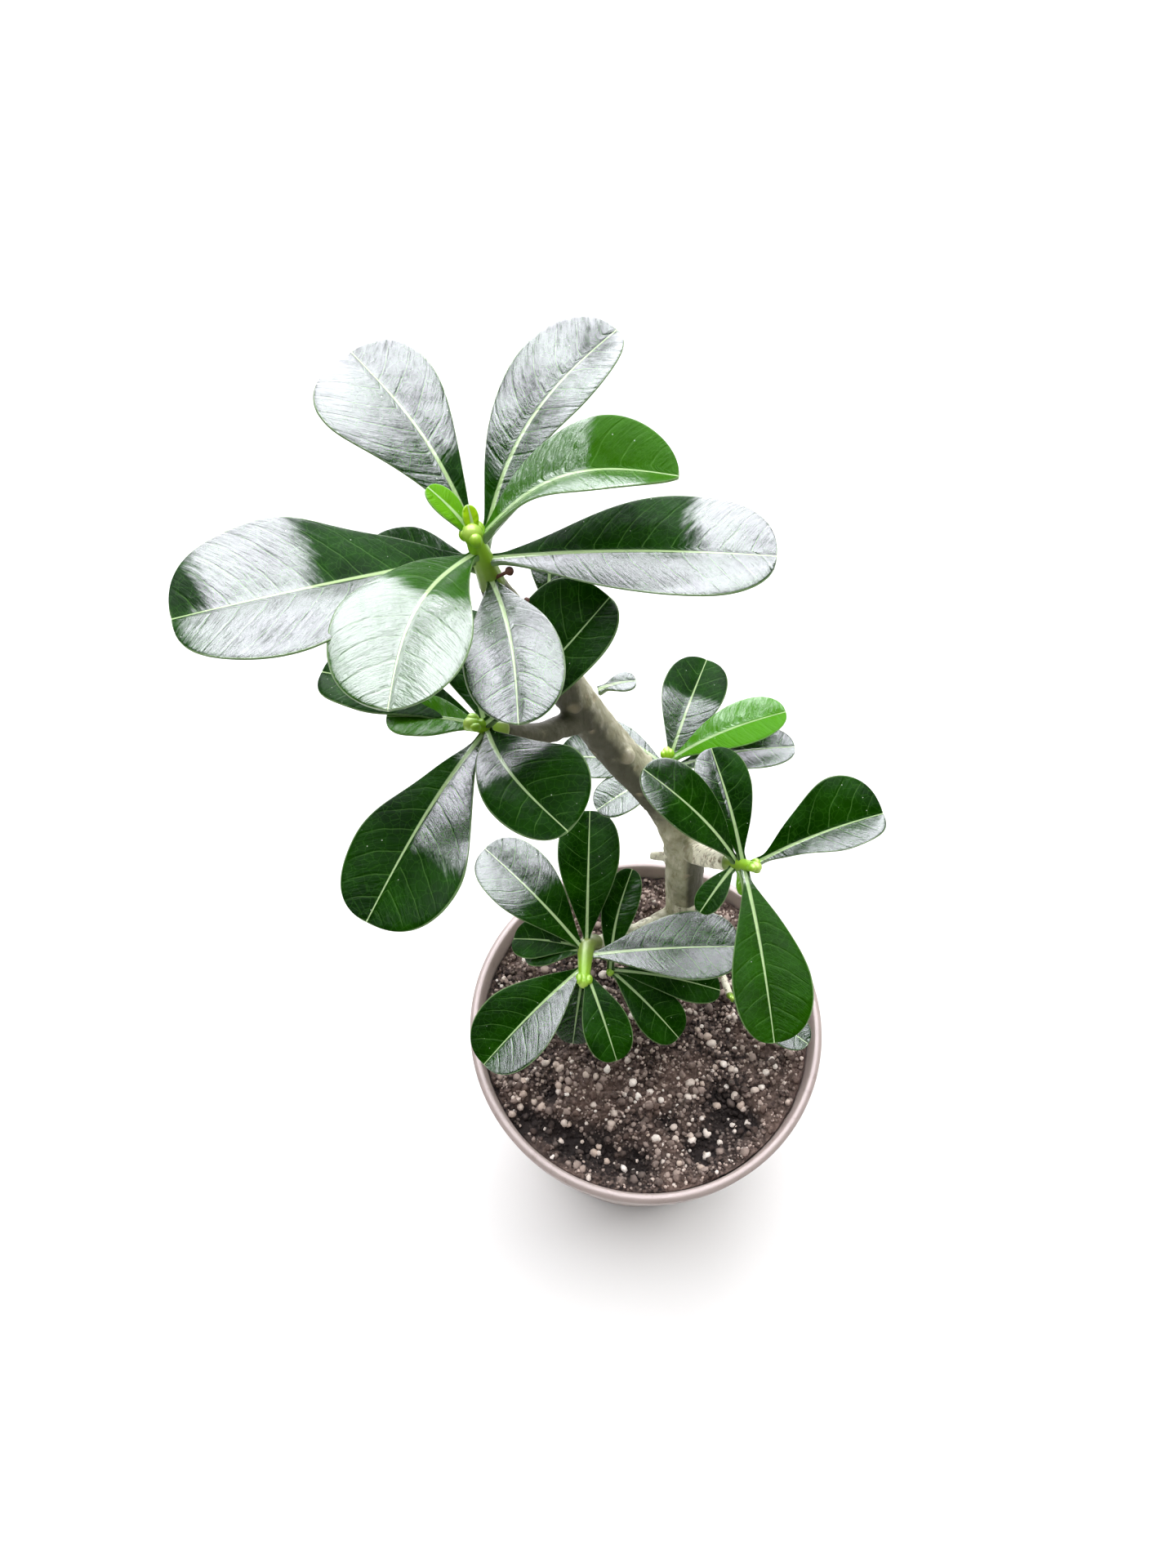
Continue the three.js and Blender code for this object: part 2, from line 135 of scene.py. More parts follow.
# A colour mix node takes its factor at socket 0 and its colours at 6 and 7, and gives
# the mixed colour at 2.
plain = add(tree, "ShaderNodeMix", {"data_type": "RGBA"},
            {0: clouding, 6: linear("#AD9E98"), 7: linear("#998A84")}, out=2)
dust = add(tree, "ShaderNodeTexNoise", inputs={
    "Vector": place, "Scale": 1 / (5 * MM), "Detail": 8, "Roughness": 0.7})
height = add(tree, "ShaderNodeSeparateXYZ", inputs={"Vector": place}, out="Z")
near_rim = add(tree, "ShaderNodeMapRange", inputs={
    "Value": height, "From Min": POT_HEIGHT - DUST_REACH, "From Max": POT_HEIGHT, "To Max": 0.6})
dusty = add(tree, "ShaderNodeMapRange", inputs={"Value": dust, "From Min": 0.56, "From Max": 0.72})
dust_cover = add(tree, "ShaderNodeMath", {"operation": "MULTIPLY"}, {0: near_rim, 1: dusty})
dusted = add(tree, "ShaderNodeMix", {"data_type": "RGBA"},
             {0: dust_cover, 6: plain, 7: linear("#75645A")}, out=2)
tree.links.new(dusted, shader.inputs["Base Color"])
# The mould's grain is 0.3 mm, drawn at 0.6 mm so that it shows.
grain = add(tree, "ShaderNodeTexNoise", inputs={"Vector": place, "Scale": 1 / (0.6 * MM), "Detail": 2})
relief = add(tree, "ShaderNodeBump", inputs={"Height": grain, "Strength": 0.25, "Distance": 0.15 * MM})
tree.links.new(relief, shader.inputs["Normal"])

wall_top = RIM_RADIUS - COLLAR_STEP - COLLAR_TAPER
collar_foot = POT_HEIGHT - COLLAR_HEIGHT
pot_section = [
    (0, FOOT_RECESS),
    (FOOT_RADIUS - FOOT_RING_WIDTH, FOOT_RECESS),
    (FOOT_RADIUS - FOOT_RING_WIDTH, 0),
    (FOOT_RADIUS - FOOT_ROUNDING, 0),
    (FOOT_RADIUS, FOOT_ROUNDING),
    (wall_top, collar_foot),
    (RIM_RADIUS - COLLAR_TAPER, collar_foot + 0.6 * MM),
    (RIM_RADIUS, POT_HEIGHT - LIP_DEPTH),
    (RIM_RADIUS - 0.9 * MM, POT_HEIGHT - 0.3 * MM),
    (RIM_RADIUS - RIM_WALL / 2, POT_HEIGHT),
    (RIM_RADIUS - RIM_WALL + 0.8 * MM, POT_HEIGHT - 0.3 * MM),
    (RIM_RADIUS - RIM_WALL, POT_HEIGHT - LIP_DEPTH),
    (wall_top - POT_WALL, collar_foot - 2 * MM),
    (FOOT_RADIUS - POT_WALL, POT_FLOOR),
    (0, POT_FLOOR),
]
bm = bmesh.new()
section = [bm.verts.new((radius, 0, z)) for radius, z in pot_section]
edges = [bm.edges.new(pair) for pair in zip(section, section[1:])]
bmesh.ops.spin(bm, geom=section + edges, cent=(0, 0, 0), axis=(0, 0, 1), angle=math.tau,
               steps=TURNING_STEPS, use_merge=True)
bmesh.ops.remove_doubles(bm, verts=bm.verts, dist=0.01 * MM)
bmesh.ops.recalc_face_normals(bm, faces=bm.faces)
pot = finish_piece(bm, "pot_shell", plastic)

bm = bmesh.new()
for i in range(DRAIN_HOLES):
    turn = math.tau * i / DRAIN_HOLES
    middle = Vector((math.cos(turn), math.sin(turn), 0)) * DRAIN_CIRCLE_RADIUS
    bmesh.ops.create_cone(bm, cap_ends=True, segments=32, radius1=DRAIN_HOLE_RADIUS,
                          radius2=DRAIN_HOLE_RADIUS, depth=4 * POT_FLOOR,
                          matrix=Matrix.Translation(middle))
punch = finish_piece(bm, "drain_punch", plastic)
holes = pot.modifiers.new("drain holes", "BOOLEAN")
holes.object = punch
holes.operation = "DIFFERENCE"
holes.solver = "EXACT"
settle(pot)
bpy.data.objects.remove(punch)
softened = pot.modifiers.new("moulded edges", "BEVEL")
softened.width = 0.4 * MM
softened.segments = 2
softened.limit_method = "ANGLE"
softened.angle_limit = math.radians(35)
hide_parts("pot")

# ---- The soil -----------------------------------------------------------------------
# A loose, gritty cactus mix of peat, bark fines and perlite, filled to 8 mm below the
# rim. It is one lumpy bed with a dozen dark hollows, and crumbs lie all over it.

SOIL_TOP = POT_HEIGHT - 8 * MM
SOIL_RADIUS = wall_top - POT_WALL + 0.2 * MM
SOIL_STEPS = 288
SOIL_RINGS = 76
STEM_X = 16.5 * MM
STEM_Y = 38 * MM
STEM_CLEARANCE = 8.5 * MM
WALL_CLEARANCE = 1.2 * MM

# Hollows between the clods: x, y, radius and depth, in mm.
HOLLOWS = [
    (-47, -38, 7, 7),
    (-33, -44, 9, 8),
    (-18, -48, 9, 7),
    (-5, -54, 7, 7),
    (29, -30, 7, 6),
    (37, -38, 9, 8),
    (22, -47, 8, 7),
    (-38, -27, 5, 5),
    (7, -38, 5, 4),
    (-55, 8, 7, 5),
    (48, 30, 6, 4),
    (-12, 52, 8, 6),
]


def soil_surface(x, y):
    """Height of the bed at a place on it: low waves, clods, crumbs, and the hollows."""
    here = Vector((x, y, 0)) / MM
    broad = 1.1 * math.sin(here.x / 11 + 1) * math.cos(here.y / 13)
    clods = 2.2 * noise.noise(here / 7)
    crumbs = 1.6 * noise.noise(here / 2.6) + 0.8 * noise.noise(here / 1.2)
    hollow = 0
    for hollow_x, hollow_y, radius, depth in HOLLOWS:
        away = math.hypot(here.x - hollow_x, here.y - hollow_y) / radius
        hollow += depth * math.exp(-away ** 2)
    return SOIL_TOP + (broad + clods + crumbs - hollow) * MM


# Peat and bark fines: dull, dark grey-brown and matt, with shade painted near black
# down in the hollows, and paler on the dry tops of the clods.
peat, tree, shader = new_material("peat and bark fines", Roughness=0.95, Specular_IOR_Level=0.15)
place = add(tree, "ShaderNodeTexCoord", out="Object")
tone = add(tree, "ShaderNodeAttribute", {"attribute_name": "tone"}, out="Fac")
damp = add(tree, "ShaderNodeTexNoise", inputs={"Vector": place, "Scale": 1 / (16 * MM), "Detail": 3})
damper = add(tree, "ShaderNodeMapRange", inputs={"Value": damp, "From Min": 0.4, "From Max": 0.62})
fines = add(tree, "ShaderNodeTexNoise", inputs={"Vector": place, "Scale": 1 / (1.4 * MM), "Detail": 6})
gritty = add(tree, "ShaderNodeMapRange", inputs={
    "Value": fines, "From Min": 0.42, "From Max": 0.72, "To Max": 0.8})
# Painted shade: the deeper the bed lies in a hollow, the nearer black it is.
depth = add(tree, "ShaderNodeSeparateXYZ", inputs={"Vector": place}, out="Z")
hollow_shade = add(tree, "ShaderNodeMapRange", inputs={
    "Value": depth, "From Min": SOIL_TOP - 5 * MM, "From Max": SOIL_TOP - 0.8 * MM,
    "To Min": 0.93, "To Max": 0})
dryness = add(tree, "ShaderNodeClamp", inputs={"Value": tone})
mix = linear("#1D1613")
for cover, colour in [(damper, "#5B4A42"), (gritty, "#867268"), (dryness, "#C6B2A7"), (hollow_shade, "#15100D")]:
    mix = add(tree, "ShaderNodeMix", {"data_type": "RGBA"}, {0: cover, 6: mix, 7: linear(colour)}, out=2)
tree.links.new(mix, shader.inputs["Base Color"])
relief = add(tree, "ShaderNodeBump", inputs={"Height": fines, "Strength": 0.9, "Distance": 0.6 * MM})
tree.links.new(relief, shader.inputs["Normal"])

bm = bmesh.new()
bed_foot = POT_FLOOR + 0.3 * MM
soil_section = [(0, bed_foot), (FOOT_RADIUS - POT_WALL - 0.6 * MM, bed_foot)]
soil_section += [(SOIL_RADIUS * ring / SOIL_RINGS, SOIL_TOP) for ring in range(SOIL_RINGS, -1, -1)]
section = [bm.verts.new((radius, 0, z)) for radius, z in soil_section]
edges = [bm.edges.new(pair) for pair in zip(section, section[1:])]
bmesh.ops.spin(bm, geom=section + edges, cent=(0, 0, 0), axis=(0, 0, 1), angle=math.tau,
               steps=SOIL_STEPS, use_merge=True)
bmesh.ops.remove_doubles(bm, verts=bm.verts, dist=0.01 * MM)
bmesh.ops.recalc_face_normals(bm, faces=bm.faces)
for vertex in bm.verts:
    if vertex.co.z > SOIL_TOP - 1 * MM:
        vertex.co.z = soil_surface(vertex.co.x, vertex.co.y)
soil_bed = finish_piece(bm, "soil_bed", peat)
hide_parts("soil")


def scatter(count, smallest, largest, seed, facets, squash, tone_range):
    """A bmesh of lumps strewn over the bed, each with its own size, turn, shape and tone."""
    draw = random.Random(seed)
    heap = bmesh.new()
    mould = bpy.data.meshes.new("lump")
    strewn = 0
    while strewn < count:
        reach = (SOIL_RADIUS - WALL_CLEARANCE) * math.sqrt(draw.random())
        turn = draw.uniform(0, math.tau)
        size = smallest * (largest / smallest) ** (draw.random() ** 1.6) / 2
        x, y = reach * math.cos(turn), reach * math.sin(turn)
        shade = draw.uniform(*tone_range)
        spun = Matrix.Rotation(draw.uniform(0, math.tau), 4, "Z")
        tilt = spun @ Matrix.Rotation(draw.uniform(-0.9, 0.9), 4, "X")
        if reach + size > SOIL_RADIUS or math.hypot(x - STEM_X, y - STEM_Y) < STEM_CLEARANCE:
            continue
        seat = Matrix.Translation((x, y, soil_surface(x, y) + 0.35 * size))
        stretch = Matrix.Diagonal((1, draw.uniform(*squash), draw.uniform(*squash), 1))
        lump = bmesh.new()
        tone_of = lump.verts.layers.float.new("tone")
        bmesh.ops.create_uvsphere(lump, u_segments=facets[0], v_segments=facets[1], radius=1)
        drift = Vector((strewn, seed, 0)) * 3.7
        for vertex in lump.verts:
            vertex.co *= 1 + 0.42 * noise.noise(vertex.co * 1.3 + drift)
            vertex[tone_of] = shade
        bmesh.ops.transform(lump, matrix=seat @ tilt @ stretch @ Matrix.Scale(size, 4), verts=lump.verts)
        lump.to_mesh(mould)
        lump.free()
        heap.from_mesh(mould)
        strewn += 1
    bpy.data.meshes.remove(mould)
    return heap


crumbs = scatter(count=1500, smallest=1.7 * MM, largest=3.9 * MM, seed=3, facets=(8, 5),
                 squash=(0.6, 1), tone_range=(-0.6, 0.7))
finish_piece(crumbs, "soil_crumbs", peat)
grit = scatter(count=5400, smallest=0.8 * MM, largest=1.9 * MM, seed=4, facets=(6, 4),
               squash=(0.7, 1), tone_range=(-0.4, 1.2))
finish_piece(grit, "soil_fines", peat)

# Perlite: volcanic glass popped to a white foam, dusted beige by the peat. It is matt
# and chalky, with fine pits.
perlite, tree, shader = new_material("dusty perlite", Roughness=0.9, Specular_IOR_Level=0.3)
place = add(tree, "ShaderNodeTexCoord", out="Object")
tone = add(tree, "ShaderNodeAttribute", {"attribute_name": "tone"}, out="Fac")
peaty = add(tree, "ShaderNodeTexNoise", inputs={"Vector": place, "Scale": 1 / (3 * MM), "Detail": 5})
chalk = add(tree, "ShaderNodeMix", {"data_type": "RGBA"},
            {0: tone, 6: linear("#FBF1E8"), 7: linear("#C4B0A2")}, out=2)
soiled = add(tree, "ShaderNodeMapRange", inputs={
    "Value": peaty, "From Min": 0.52, "From Max": 0.75, "To Max": 0.7})
grimy = add(tree, "ShaderNodeMix", {"data_type": "RGBA"},
            {0: soiled, 6: chalk, 7: linear("#8F7B6D")}, out=2)
tree.links.new(grimy, shader.inputs["Base Color"])
pits = add(tree, "ShaderNodeTexVoronoi", inputs={"Vector": place, "Scale": 1 / (0.6 * MM)})
relief = add(tree, "ShaderNodeBump", inputs={"Height": pits, "Strength": 0.5, "Distance": 0.25 * MM})
tree.links.new(relief, shader.inputs["Normal"])
popped = scatter(count=520, smallest=1.2 * MM, largest=4 * MM, seed=11, facets=(8, 5),
                 squash=(0.75, 1), tone_range=(0, 1.2))
finish_piece(popped, "perlite_grains", perlite)

# ---- The stem and its branches --------------------------------------------------------
# The woody part: a stem as thick as a thumb that leans and bends away from the pot, six
# side branches and a dead stub. They grew as one, so their limbs are melted into one
# skin, which is then wrinkled like bark and pocked with the scars of old leaves.

# Points along each limb: x, y, height above the rim and radius, in mm.
TRUNK = [
    (16.5, 38, -30, 8),
    (16.5, 38, -8, 8),
    (16, 38, 8, 7.4),
    (13.4, 38, 48, 7.2),
    (12, 38, 66, 7.1),
    (9.6, 38, 87, 6.9),
    (3.6, 38, 109, 6.7),
    (-2.3, 38, 122, 6.5),
    (-11.2, 38, 139, 6.2),
    (-20.8, 38, 160, 5.9),
    (-28.6, 38, 180, 5.5),
    (-37, 38, 203, 4.9),
    (-42.9, 38, 215, 4.5),
    (-46.5, 38, 226, 3.4),
]
BRANCHES = [
    [(-23, 38, 165, 4.5), (-29, 32, 170, 3.6), (-38, 25, 176, 3.2), (-46, 21.5, 184, 2.8)],
    [(9.5, 38, 84, 5), (8, 47, 84, 3.8), (6.5, 57, 89, 2.7)],
    [(10, 38, 84, 5), (14, 27, 96, 4), (21.2, 14.5, 115.5, 2.7)],
    [(14.5, 38, 22, 4), (0, 29.5, 27, 2.4), (-13, 23, 29.5, 2.2), (-20.5, 19.5, 33, 2.8)],
    [(-11, 24, 29.5, 2), (-13, 20, 28.4, 1.7), (-14.2, 14, 28.4, 1.6)],
    [(17, 37, -1, 3), (28, 26, 0, 1.8), (33.6, 9, 2.5, 1.5)],
    [(11.6, 38, 69, 2.4), (4, 38.6, 69.2, 1.7), (-0.6, 39, 69.4, 1.4)],
]
KNOBS = [
    (10, 35, 30, 2.2),
    (16, 31.5, 28, 1.6),
    (-11.4, 34, 149.5, 2.6),
    (-4, 32.8, 126, 1.8),
    (-16.5, 43, 151, 2),
    (-26.5, 33.6, 178, 2.2),
    (-43.5, 34.2, 219, 1.8),
]
# Old leaf scars that show: x, y, height above the rim and radius, in mm.
SCARS = [
    (-10.8, 32, 150.4, 2.3),
    (-21.4, 36.9, 176.2, 1.4),
    (-27, 32, 178.5, 2),
    (10.2, 28.7, 97, 1.6),
    (12.8, 30.9, 44.2, 1.3),
    (9.1, 32, 53.8, 1.4),
    (18.9, 14.6, 116.8, 1.3),
    (-2.3, 32, 127.1, 1.5),
    (-43.5, 33, 219.5, 1.6),
]
# More scars climb the stem in a spiral: how many, the height of the first above the rim
# and the spacing in mm, and the turn from one to the next in degrees.
SPIRAL_SCARS, FIRST_SCAR, SCAR_SPACING, SCAR_TURN = 34, 60, 4.6, 137.5
# A scar's raised ring dies away at this many of its radii.
SCAR_REACH = 2.2

# Boxes that hold the thin straw-coloured branches and the dead stub: least and greatest
# x, y and height above the rim, in mm.
FAR = 999
TWIGS = [
    ((-FAR, -FAR, -FAR), (FAR, 32, 40)),
    ((12, -FAR, -FAR), (FAR, 29, 122)),
    ((-FAR, -FAR, 60), (5, FAR, 78)),
]
# Shade is painted dark on the front of the stem, the side away from the window: all but
# its right edge above the bend, under the leaves, and its right side below it, under the right
# branch. In mm: how far from the bend this takes to set in, where right of the stem's axis
# it begins, and over what width it deepens, to the left where negative.
BEND = 98
SHADE_ABOVE_BEND = (45, 7, -4)
SHADE_BELOW_BEND = (30, -0.5, 2.2)
SHADE_STRENGTH = 0.85
FRONT_LIMIT = 42
FRONT_FADE = 5


def above_rim(x, y, height):
    """The place of a point of the plant, given in mm by its height above the pot's rim."""
    return Vector((x, y, height)) * MM + Vector((0, 0, POT_HEIGHT))


def clamp(value):
    """A value kept between 0 and 1."""
    return max(0, min(1, value))


def stem_axis_x(above):
    """The x of the stem's axis at a height above the rim, both in mm."""
    joint = min(max(1, sum(point[2] < above for point in TRUNK)), len(TRUNK) - 1)
    (low_x, _, low, _), (high_x, _, high, _) = TRUNK[joint - 1:joint + 1]
    return low_x + (high_x - low_x) * (above - low) / (high - low)


def smooth_course(points, spans):
    """Points and radii along the smooth curve through a limb's own points."""
    places = [(above_rim(x, y, height), radius * MM) for x, y, height, radius in points]
    ends = [places[0]] + places + [places[-1]]
    course = []
    for i in range(1, len(places)):
        (a, _), (b, thick), (c, thin), (d, _) = ends[i - 1:i + 3]
        for step in range(spans):
            t = step / spans
            bend = (2 * b + (c - a) * t + (2 * a - 5 * b + 4 * c - d) * t ** 2
                    + (3 * b - a - 3 * c + d) * t ** 3) / 2
            course.append((bend, thick + (thin - thick) * t))
    return course + [places[-1]]


def add_limb(bm, course, sides):
    """Adds a closed round limb: a ring extruded from place to place, with capped ends."""
    ring = None
    for i, (centre, radius) in enumerate(course):
        before, after = course[max(i - 1, 0)][0], course[min(i + 1, len(course) - 1)][0]
        facing = (after - before).to_track_quat("Z", "Y").to_matrix().to_4x4()
        if ring is None:
            ring = bmesh.ops.create_circle(bm, cap_ends=True, segments=sides, radius=1)["verts"]
            edges = list({edge for vertex in ring for edge in vertex.link_edges})
        else:
            grown = bmesh.ops.extrude_edge_only(bm, edges=edges)["geom"]
            ring = [part for part in grown if isinstance(part, bmesh.types.BMVert)]
            edges = [part for part in grown if isinstance(part, bmesh.types.BMEdge)
                     and all(vertex in ring for vertex in part.verts)]
            bmesh.ops.transform(bm, matrix=unplace, verts=ring)
        place = Matrix.Translation(centre) @ facing @ Matrix.Scale(radius, 4)
        bmesh.ops.transform(bm, matrix=place, verts=ring)
        unplace = place.inverted()
    bmesh.ops.contextual_create(bm, geom=edges)


bm = bmesh.new()
add_limb(bm, smooth_course(TRUNK, 4), 28)
for branch in BRANCHES:
    add_limb(bm, smooth_course(branch, 5), 18)
for x, y, height, radius in KNOBS:
    bmesh.ops.create_icosphere(bm, subdivisions=3, radius=radius * MM,
                               matrix=Matrix.Translation(above_rim(x, y, height)))
bmesh.ops.recalc_face_normals(bm, faces=bm.faces)

# Desert rose bark: thin, tight and grey-beige over green, smooth but for fine cracks
# along the limb, painted darker for the shade in them, and pale dry flakes. Shade is painted
# dark and mottled on the front of the stem. It is green towards the young tips, and pale
# straw specked brown on thin branches.
bark, tree, shader = new_material("desert rose bark", Roughness=0.72, Specular_IOR_Level=0.3)
place = add(tree, "ShaderNodeTexCoord", out="Object")
height = add(tree, "ShaderNodeSeparateXYZ", inputs={"Vector": place}, out="Z")
drawn_out = add(tree, "ShaderNodeMapping", inputs={"Vector": place, "Scale": (1, 1, 0.22)})
mottle = add(tree, "ShaderNodeTexNoise", inputs={
    "Vector": place, "Scale": 1 / (6 * MM), "Detail": 6, "Roughness": 0.65})
streak = add(tree, "ShaderNodeTexNoise", inputs={
    "Vector": drawn_out, "Scale": 1 / (2.6 * MM), "Detail": 6, "Roughness": 0.6})
scar_twig_shade_colour = add(tree, "ShaderNodeAttribute", {"attribute_name": "scar_twig_shade"}, out="Color")
scar, twig, painted_shade = add(tree, "ShaderNodeSeparateColor", inputs={"Color": scar_twig_shade_colour}).node.outputs
# Painted shade: the front of the stem darkens here, mixed with dark random mottling.
mottle_and_shade = add(tree, "ShaderNodeMath", {"operation": "MULTIPLY_ADD"}, {0: mottle, 1: 1.3, 2: painted_shade})
shade_side = add(tree, "ShaderNodeMapRange", {"interpolation_type": "SMOOTHSTEP"}, {
    "Value": mottle_and_shade, "From Min": 0.68, "From Max": 1.5, "To Max": 0.88})
patches = add(tree, "ShaderNodeMapRange", inputs={"Value": mottle, "From Min": 0.35, "From Max": 0.65})
flakes = add(tree, "ShaderNodeMapRange", inputs={
    "Value": streak, "From Min": 0.53, "From Max": 0.66, "To Max": 0.6})
# Painted shade: the cracks are coloured darker, as if shaded.
crack_shade = add(tree, "ShaderNodeMapRange", inputs={
    "Value": streak, "From Min": 0.33, "From Max": 0.46, "To Min": 0.65, "To Max": 0})
straw = add(tree, "ShaderNodeMapRange", inputs={"Value": twig, "To Max": 0.85})
young = add(tree, "ShaderNodeMapRange", inputs={
    "Value": height, "From Min": POT_HEIGHT + 195 * MM, "From Max": POT_HEIGHT + 228 * MM,
    "To Max": 0.75})
specking = add(tree, "ShaderNodeTexNoise", inputs={
    "Vector": place, "Scale": 1 / (2 * MM), "Detail": 3, "Roughness": 0.6})
specks = add(tree, "ShaderNodeMapRange", inputs={
    "Value": specking, "From Min": 0.56, "From Max": 0.64, "To Max": 0.75})
brown = add(tree, "ShaderNodeMath", {"operation": "MULTIPLY"}, {0: specks, 1: twig})
# Among these colours, the cracks and the shade side are painted shade.
skin = linear("#8E8B70")
for cover, colour in [(patches, "#BDB99C"), (flakes, "#D9D4BF"), (young, "#5D6632"), (straw, "#F6F1DA"),
                      (crack_shade, "#736C4E"), (shade_side, "#2E2D1B"), (brown, "#7C5E42"), (scar, "#A2967C")]:
    skin = add(tree, "ShaderNodeMix", {"data_type": "RGBA"}, {
        0: cover, 6: skin, 7: linear(colour)}, out=2)
tree.links.new(skin, shader.inputs["Base Color"])
relief = add(tree, "ShaderNodeBump", inputs={"Height": streak, "Strength": 0.8, "Distance": 0.6 * MM})
tree.links.new(relief, shader.inputs["Normal"])

trunk = finish_piece(bm, "stem_and_branches", bark)
melted = trunk.modifiers.new("one skin", "REMESH")
melted.mode = "VOXEL"
melted.voxel_size = 0.6 * MM
eased = trunk.modifiers.new("grown collars", "SMOOTH")
eased.factor = 0.5
eased.iterations = 6
settle(trunk)

bm = bmesh.new()
bm.from_mesh(trunk.data)
scar_twig_shade_of = bm.verts.layers.float_color.new("scar_twig_shade")
scar_places = [(above_rim(x, y, height), radius * MM) for x, y, height, radius in SCARS]
draw = random.Random(5)
for i in range(SPIRAL_SCARS):
    height = FIRST_SCAR + SCAR_SPACING * i
    turn = i * math.radians(SCAR_TURN)
    nearest = min(TRUNK, key=lambda point: abs(point[2] - height))
    later = TRUNK[min(TRUNK.index(nearest) + 1, len(TRUNK) - 1)]
    share = (height - nearest[2]) / max(later[2] - nearest[2], 1)
    x = nearest[0] + share * (later[0] - nearest[0])
    y = nearest[1] + nearest[3] * math.sin(turn)
    on_bark = above_rim(x + nearest[3] * math.cos(turn), y, height)
    scar_places.append((on_bark, draw.uniform(0.9, 1.6) * MM))
bm.normal_update()
lifted = []
for vertex in bm.verts:
    here = vertex.co
    grown = Vector((here.x, here.y, here.z * 0.35)) / (3.2 * MM)
    wrinkle = 0.3 * noise.noise(grown) + 0.16 * noise.noise(grown * 2.7)
    bump = 0
    scarring = 0
    for centre, radius in scar_places:
        away = (here - centre).length / radius
        if away < SCAR_REACH:
            # A scar is a raised ring round a sunken middle.
            bump += 0.42 * math.exp(-((away - 1) / 0.32) ** 2) - 0.3 * math.exp(-(away / 0.55) ** 2)
            scarring = max(scarring, math.exp(-(away / 0.9) ** 4))
    raise_by = (wrinkle + bump * 0.8) * MM
    x, y, above = here.x / MM, here.y / MM, (here.z - POT_HEIGHT) / MM
    twig = float(any(all(least < at < most for least, at, most in zip(low_end, (x, y, above), high_end))
                     for low_end, high_end in TWIGS))
    # Painted shade on the front of the stem, left off the twigs.
    sets_in, begins, deepens = SHADE_ABOVE_BEND if above > BEND else SHADE_BELOW_BEND
    aside = x - stem_axis_x(above)
    shaded = min(1, abs(above - BEND) / sets_in) * (aside - begins) / deepens
    painted_shade = SHADE_STRENGTH * (1 - twig) * clamp(shaded) * clamp((FRONT_LIMIT - y) / FRONT_FADE)
    vertex[scar_twig_shade_of] = (0.6 * scarring, twig, painted_shade, 1)
    lifted.append((vertex, vertex.normal * raise_by))
for vertex, lift in lifted:
    vertex.co += lift
bm.to_mesh(trunk.data)
bm.free()
trunk.data.shade_smooth()
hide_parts("trunk_and_branches")

# Dry stalks: the shrivelled remains of two flowers and the stalk of a lone leaf, dried
# hard and red-brown mottled nearly black, with lumpy ends.
withered, tree, shader = new_material("withered red-brown skin", Roughness=0.7, Specular_IOR_Level=0.3)
place = add(tree, "ShaderNodeTexCoord", out="Object")
shrunk = add(tree, "ShaderNodeTexNoise", inputs={"Vector": place, "Scale": 1 / (0.9 * MM), "Detail": 5})
dried = add(tree, "ShaderNodeMix", {"data_type": "RGBA"}, {
    0: shrunk, 6: linear("#1E120D"), 7: linear("#7A4A34")}, out=2)
tree.links.new(dried, shader.inputs["Base Color"])
relief = add(tree, "ShaderNodeBump", inputs={"Height": shrunk, "Strength": 0.8, "Distance": 0.4 * MM})
tree.links.new(relief, shader.inputs["Normal"])

STALK_FOOT_RADIUS = 0.55
STALK_TIP_RADIUS = 0.4
# Foot and tip of each stalk in mm by height above the rim, and the radius of the lump at
# its end.
DRY_STALKS = [
    ((-46, 36.6, 229.5), (-41.8, 35.6, 233.6), 1.1),
    ((-42, 36.4, 219.2), (-38.2, 35.4, 222.6), 0.8),
    ((-36.6, 40, 206.6), (-33, 41.4, 208.6), 0.9),
]
bm = bmesh.new()
for foot, tip, lump in DRY_STALKS:
    add_limb(bm, smooth_course([(*foot, STALK_FOOT_RADIUS), (*tip, STALK_TIP_RADIUS)], 6), 10)
    bmesh.ops.create_icosphere(bm, subdivisions=3, radius=lump * MM,
                               matrix=Matrix.Translation(above_rim(*tip)))
for vertex in bm.verts:
    vertex.co += vertex.co.normalized() * 0.25 * MM * noise.noise(vertex.co / (0.7 * MM))
bmesh.ops.recalc_face_normals(bm, faces=bm.faces)
finish_piece(bm, "dry_stalks", withered)

# ---- The leafy shoots -------------------------------------------------------------------
# Each branch ends in a short green shoot with a rosette of thick, leathery, spoon-shaped
# leaves, and a lime green growing tip in its middle. A leaf is a grid bent to shape
# and drawn out to a thick blade, with a raised midrib and a soft quilt of side veins.

LEAF_ROWS = 46
LEAF_COLUMNS = 16
PETIOLE_WIDTH = 3 * MM
PETIOLE_THICKNESS = 2 * MM
BLADE_THICKNESS = 0.8 * MM
RIB_THICKNESS = 1.3 * MM
VEIN_SPACING = 6.2 * MM
# Side veins slant towards the tip as they leave the midrib, and bend to it farther out.
VEIN_SLANT = 0.45
VEIN_BEND = 20
# The share of the length that the stalk takes up.
STALK_SHARE = 0.3
# The share of the length over which the wax thins out at the end of a dull patch.
PATCH_EDGE = 0.14

